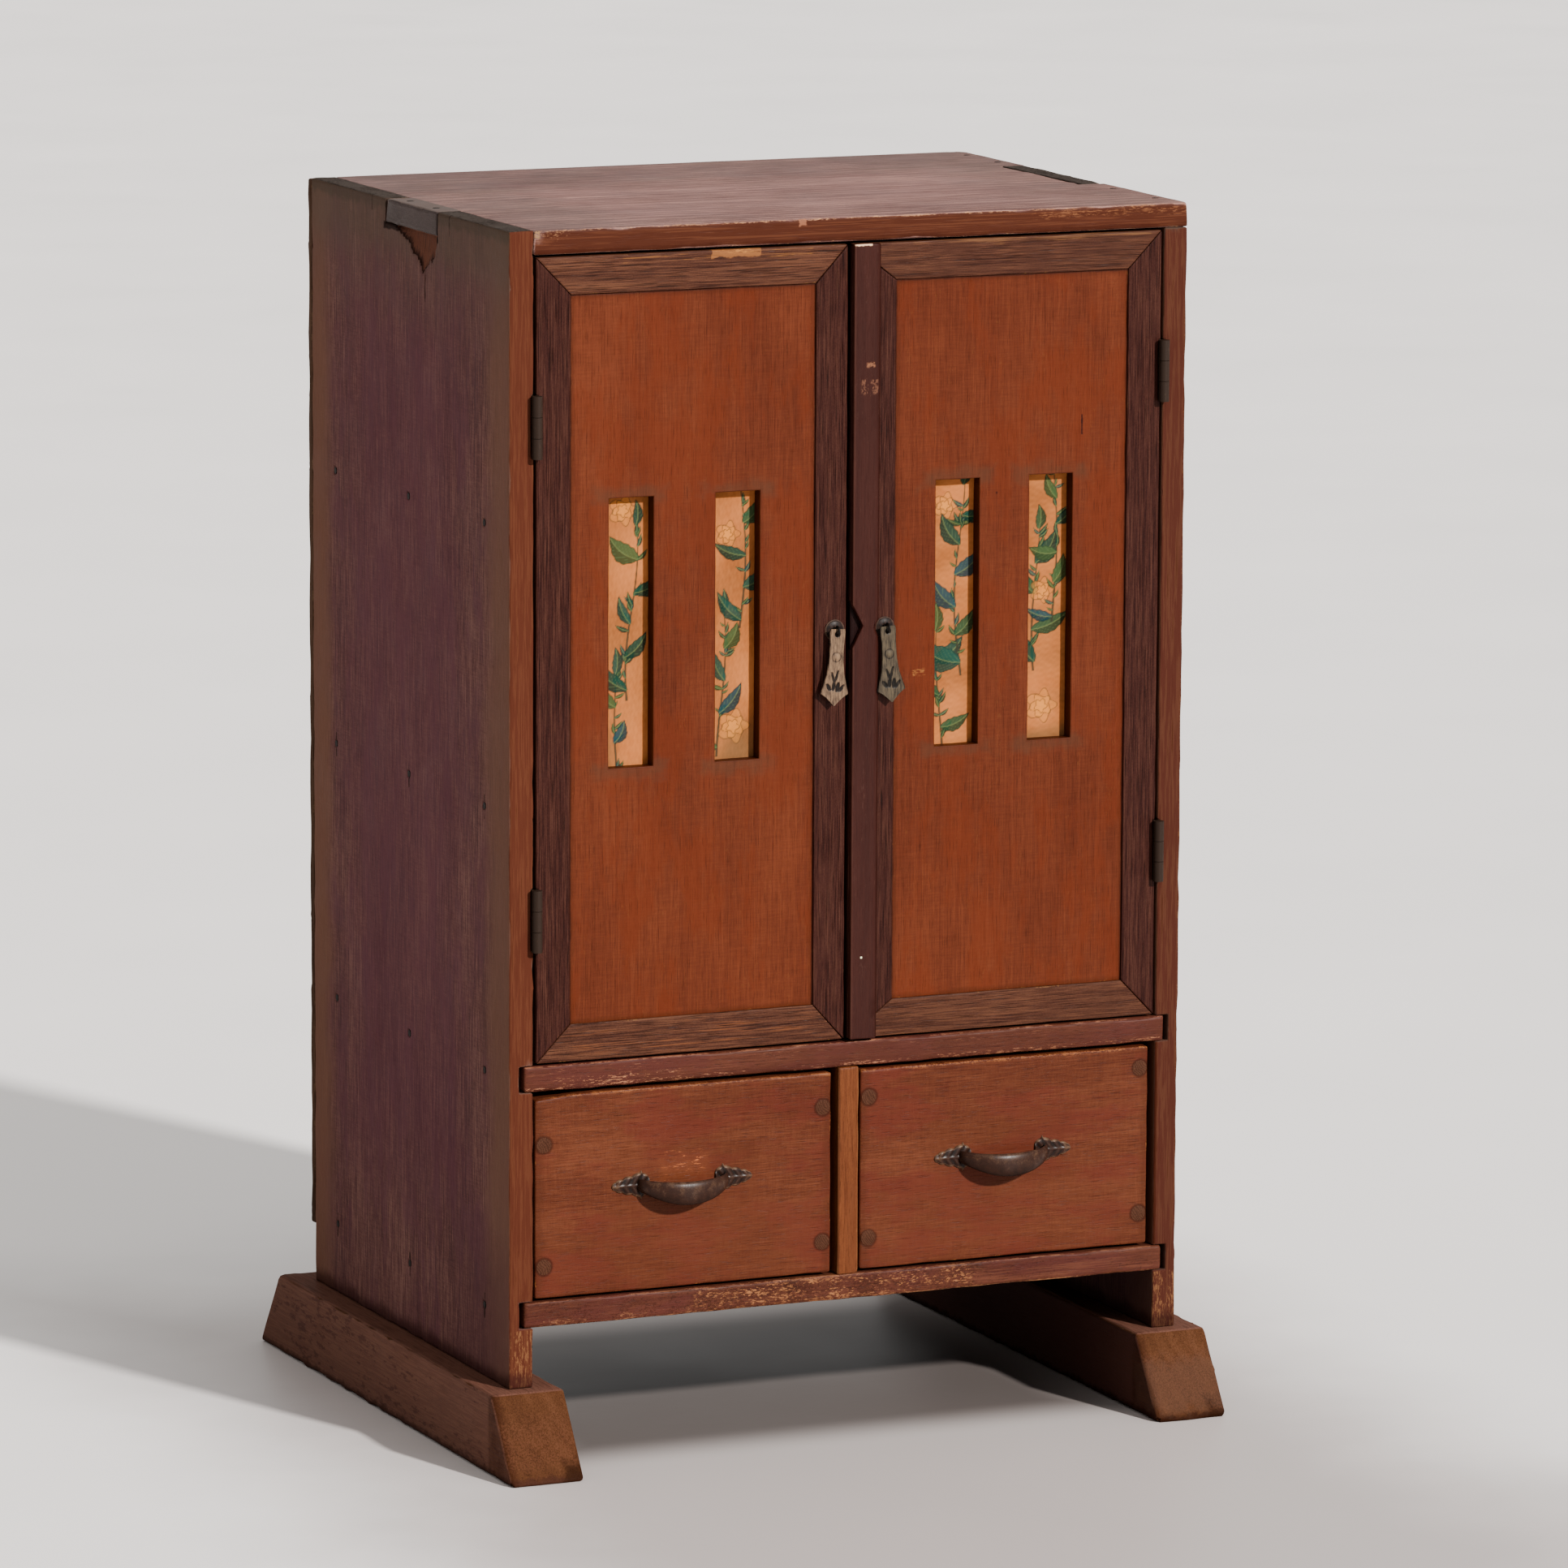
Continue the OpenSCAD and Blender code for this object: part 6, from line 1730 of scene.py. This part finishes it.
    def build(self, shop: Workshop) -> None:
        """Makes all pieces of the drawer."""
        self.front(shop)
        self.plugs(shop)
        self.box_parts(shop)
        self.pull(shop)


# ---- the studio


def stand(axes: Sequence[Sequence[float]], place: Sequence[float]) -> Matrix:
    """Matrix of an object with the given X, Y and Z axes at a place."""
    return Matrix([[*row, p] for row, p in zip(np.stack(axes, 1), place)] + [[0, 0, 0, 1]])


@dataclass
class Studio:
    """Floor, lights, sky and camera."""

    focal: float = 215.27
    eye: tuple[float, float, float] = (-2.32233, -5.31442, 1.37706)
    right: tuple[float, float, float] = (0.91466914, -0.40417367, 0.00489955)
    up: tuple[float, float, float] = (0.06392386, 0.15661122, 0.9855895)
    ahead: tuple[float, float, float] = (0.39911665, 0.90117511, -0.1690838)
    sun_from: tuple[float, float, float] = (0.38, -1.0, 0.56)
    pale: Colour = (0.88, 0.84, 0.82)
    near_painted_shade: Colour = (0.42, 0.375, 0.36)
    under_painted_shadow: Colour = (0.06, 0.048, 0.043)

    def floor(self) -> None:
        """Lays a wide, pale, painted floor.

        Its paint is greyer round the cupboard and much darker under it, which deepens the shadow
        there. Both tints have fixed places on the floor.
        """
        g = Graph("pale_floor_painted_shadow", Specular_IOR_Level=0.2)
        slow = g.noise((260.0,) * 3, 4.0, 0.55, 1.0)
        grit = g.noise((6.0,) * 3, 3.0, 0.6, 2.0)
        far = abs(g.xyz[0] - 10).most(abs(g.xyz[1] + 260) * 0.55) + (slow - 0.5) * 160
        # painted shade round the cupboard and painted shadow under it, by place on the floor
        near = 1 - (far * 0.001).ease(0.2, 0.48)
        under = 1 - abs(g.xyz[0]).most(abs(g.xyz[1]) * 1.2).ease(150, 230)
        colour = g.mix(near, self.pale, self.near_painted_shade)
        colour = g.mix(under * 0.9, colour, self.under_painted_shadow)
        finish = g.finish(colour, 0.42 + (slow - 0.5) * 0.25, grit, 0.05)
        a = np.linspace(0, 2 * np.pi, 96, endpoint=False)
        mesh = bpy.data.meshes.new("floor")
        mesh.from_pydata([(40 * math.cos(t), 40 * math.sin(t), -0.0002) for t in a], [], [tuple(range(96))])
        mesh.materials.append(finish)
        floor = bpy.data.objects.new("floor", mesh)
        bpy.context.scene.collection.objects.link(floor)

    def sun(self) -> None:
        """Adds the key light: even, a little soft, from the right of the front and above."""
        data = bpy.data.lights.new("key", "SUN")
        data.energy, data.angle, data.color = 9.0, math.radians(3.0), (1.0, 0.97, 0.94)
        lamp = bpy.data.objects.new("key", data)
        back = np.array(self.sun_from) / np.linalg.norm(self.sun_from)
        side = np.cross([0, 0, 1], back)
        side = side / np.linalg.norm(side)
        lamp.matrix_world = stand([side, np.cross(back, side), back], back * 4)
        bpy.context.scene.collection.objects.link(lamp)

    def build(self) -> None:
        """Sets floor, lights, camera and a sky that grows brighter up to 37 degrees above level."""
        self.floor()
        self.sun()
        world = bpy.data.worlds.new("soft_room")
        world.use_nodes = True
        nodes, links = world.node_tree.nodes, world.node_tree.links
        way, split, ramp = (nodes.new("ShaderNode" + kind) for kind in ("TexCoord", "SeparateXYZ", "ValToRGB"))
        ramp.color_ramp.elements[0].color = (0.3, 0.295, 0.29, 1.0)
        ramp.color_ramp.elements[1].color = (1.0, 0.985, 0.965, 1.0)
        ramp.color_ramp.elements[1].position = 0.6
        links.new(way.outputs["Generated"], split.inputs[0])
        links.new(split.outputs["Z"], ramp.inputs[0])
        links.new(ramp.outputs[0], nodes["Background"].inputs["Color"])
        bpy.context.scene.world = world
        data = bpy.data.cameras.new("camera")
        data.lens, data.sensor_width, data.sensor_fit = self.focal, 36.0, "HORIZONTAL"
        data.clip_start, data.clip_end = 0.1, 100.0
        camera = bpy.data.objects.new("camera", data)
        camera.matrix_world = stand([self.right, self.up, [-v for v in self.ahead]], self.eye)
        bpy.context.scene.collection.objects.link(camera)
        bpy.context.scene.camera = camera


LEFT_PRINT = Print("left_print", "left_door", 71, (
    Sprig(-150, 416, 486, 2.0, 4, 21.0, 3), Sprig(-141, 468, 575, 4.0, 6, 24.0, 4, (-6, 584, 8.0)),
    Sprig(-82, 430, 520, 3.0, 5, 24.0, 5, (8, 448, 9.0)), Sprig(-69, 508, 596, 3.0, 5, 21.0, 6, (-9, 566, 7.0))))
RIGHT_PRINT = Print("right_print", "right_door", 73, (
    Sprig(64, 416, 500, 2.6, 5, 28.0, 8), Sprig(77, 470, 590, 3.4, 7, 26.0, 9, (-10, 576, 7.0)),
    Sprig(129, 470, 560, 2.6, 5, 23.0, 10, (4, 448, 9.0)), Sprig(141, 500, 598, 2.0, 6, 22.0, 12, (-8, 520, 7.0))))


def main() -> None:
    """Builds the cupboard and its studio."""
    logging.basicConfig(level=logging.INFO, format="%(name)s %(message)s")
    shop = Workshop()
    Studio().build()
    Case().build(shop)
    Door("left", -207.5, -3.4, 21.0, (339.0, 639.0), (-145.0, -75.0), 31, LEFT_PRINT).build(shop)
    Door("right", 207.5, -1.0, 29.8, (354.0, 654.0), (134.5, 71.5), 41, RIGHT_PRINT).build(shop)
    MeetingStrip().build(shop)
    HangingPull("left", -11.4, 505.0, PALE, -3.0).build(shop)
    HangingPull("right", 22.0, 505.0, GREEN, 4.0).build(shop)
    Drawer("left", -208.0, (200.0, 209.0), 81).build(shop)
    Drawer("right", 8.0, (213.0, 217.0), 91).build(shop)
    LOG.info("%d pieces made", len(shop.made))
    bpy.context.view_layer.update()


if __name__ == "__main__":
    main()
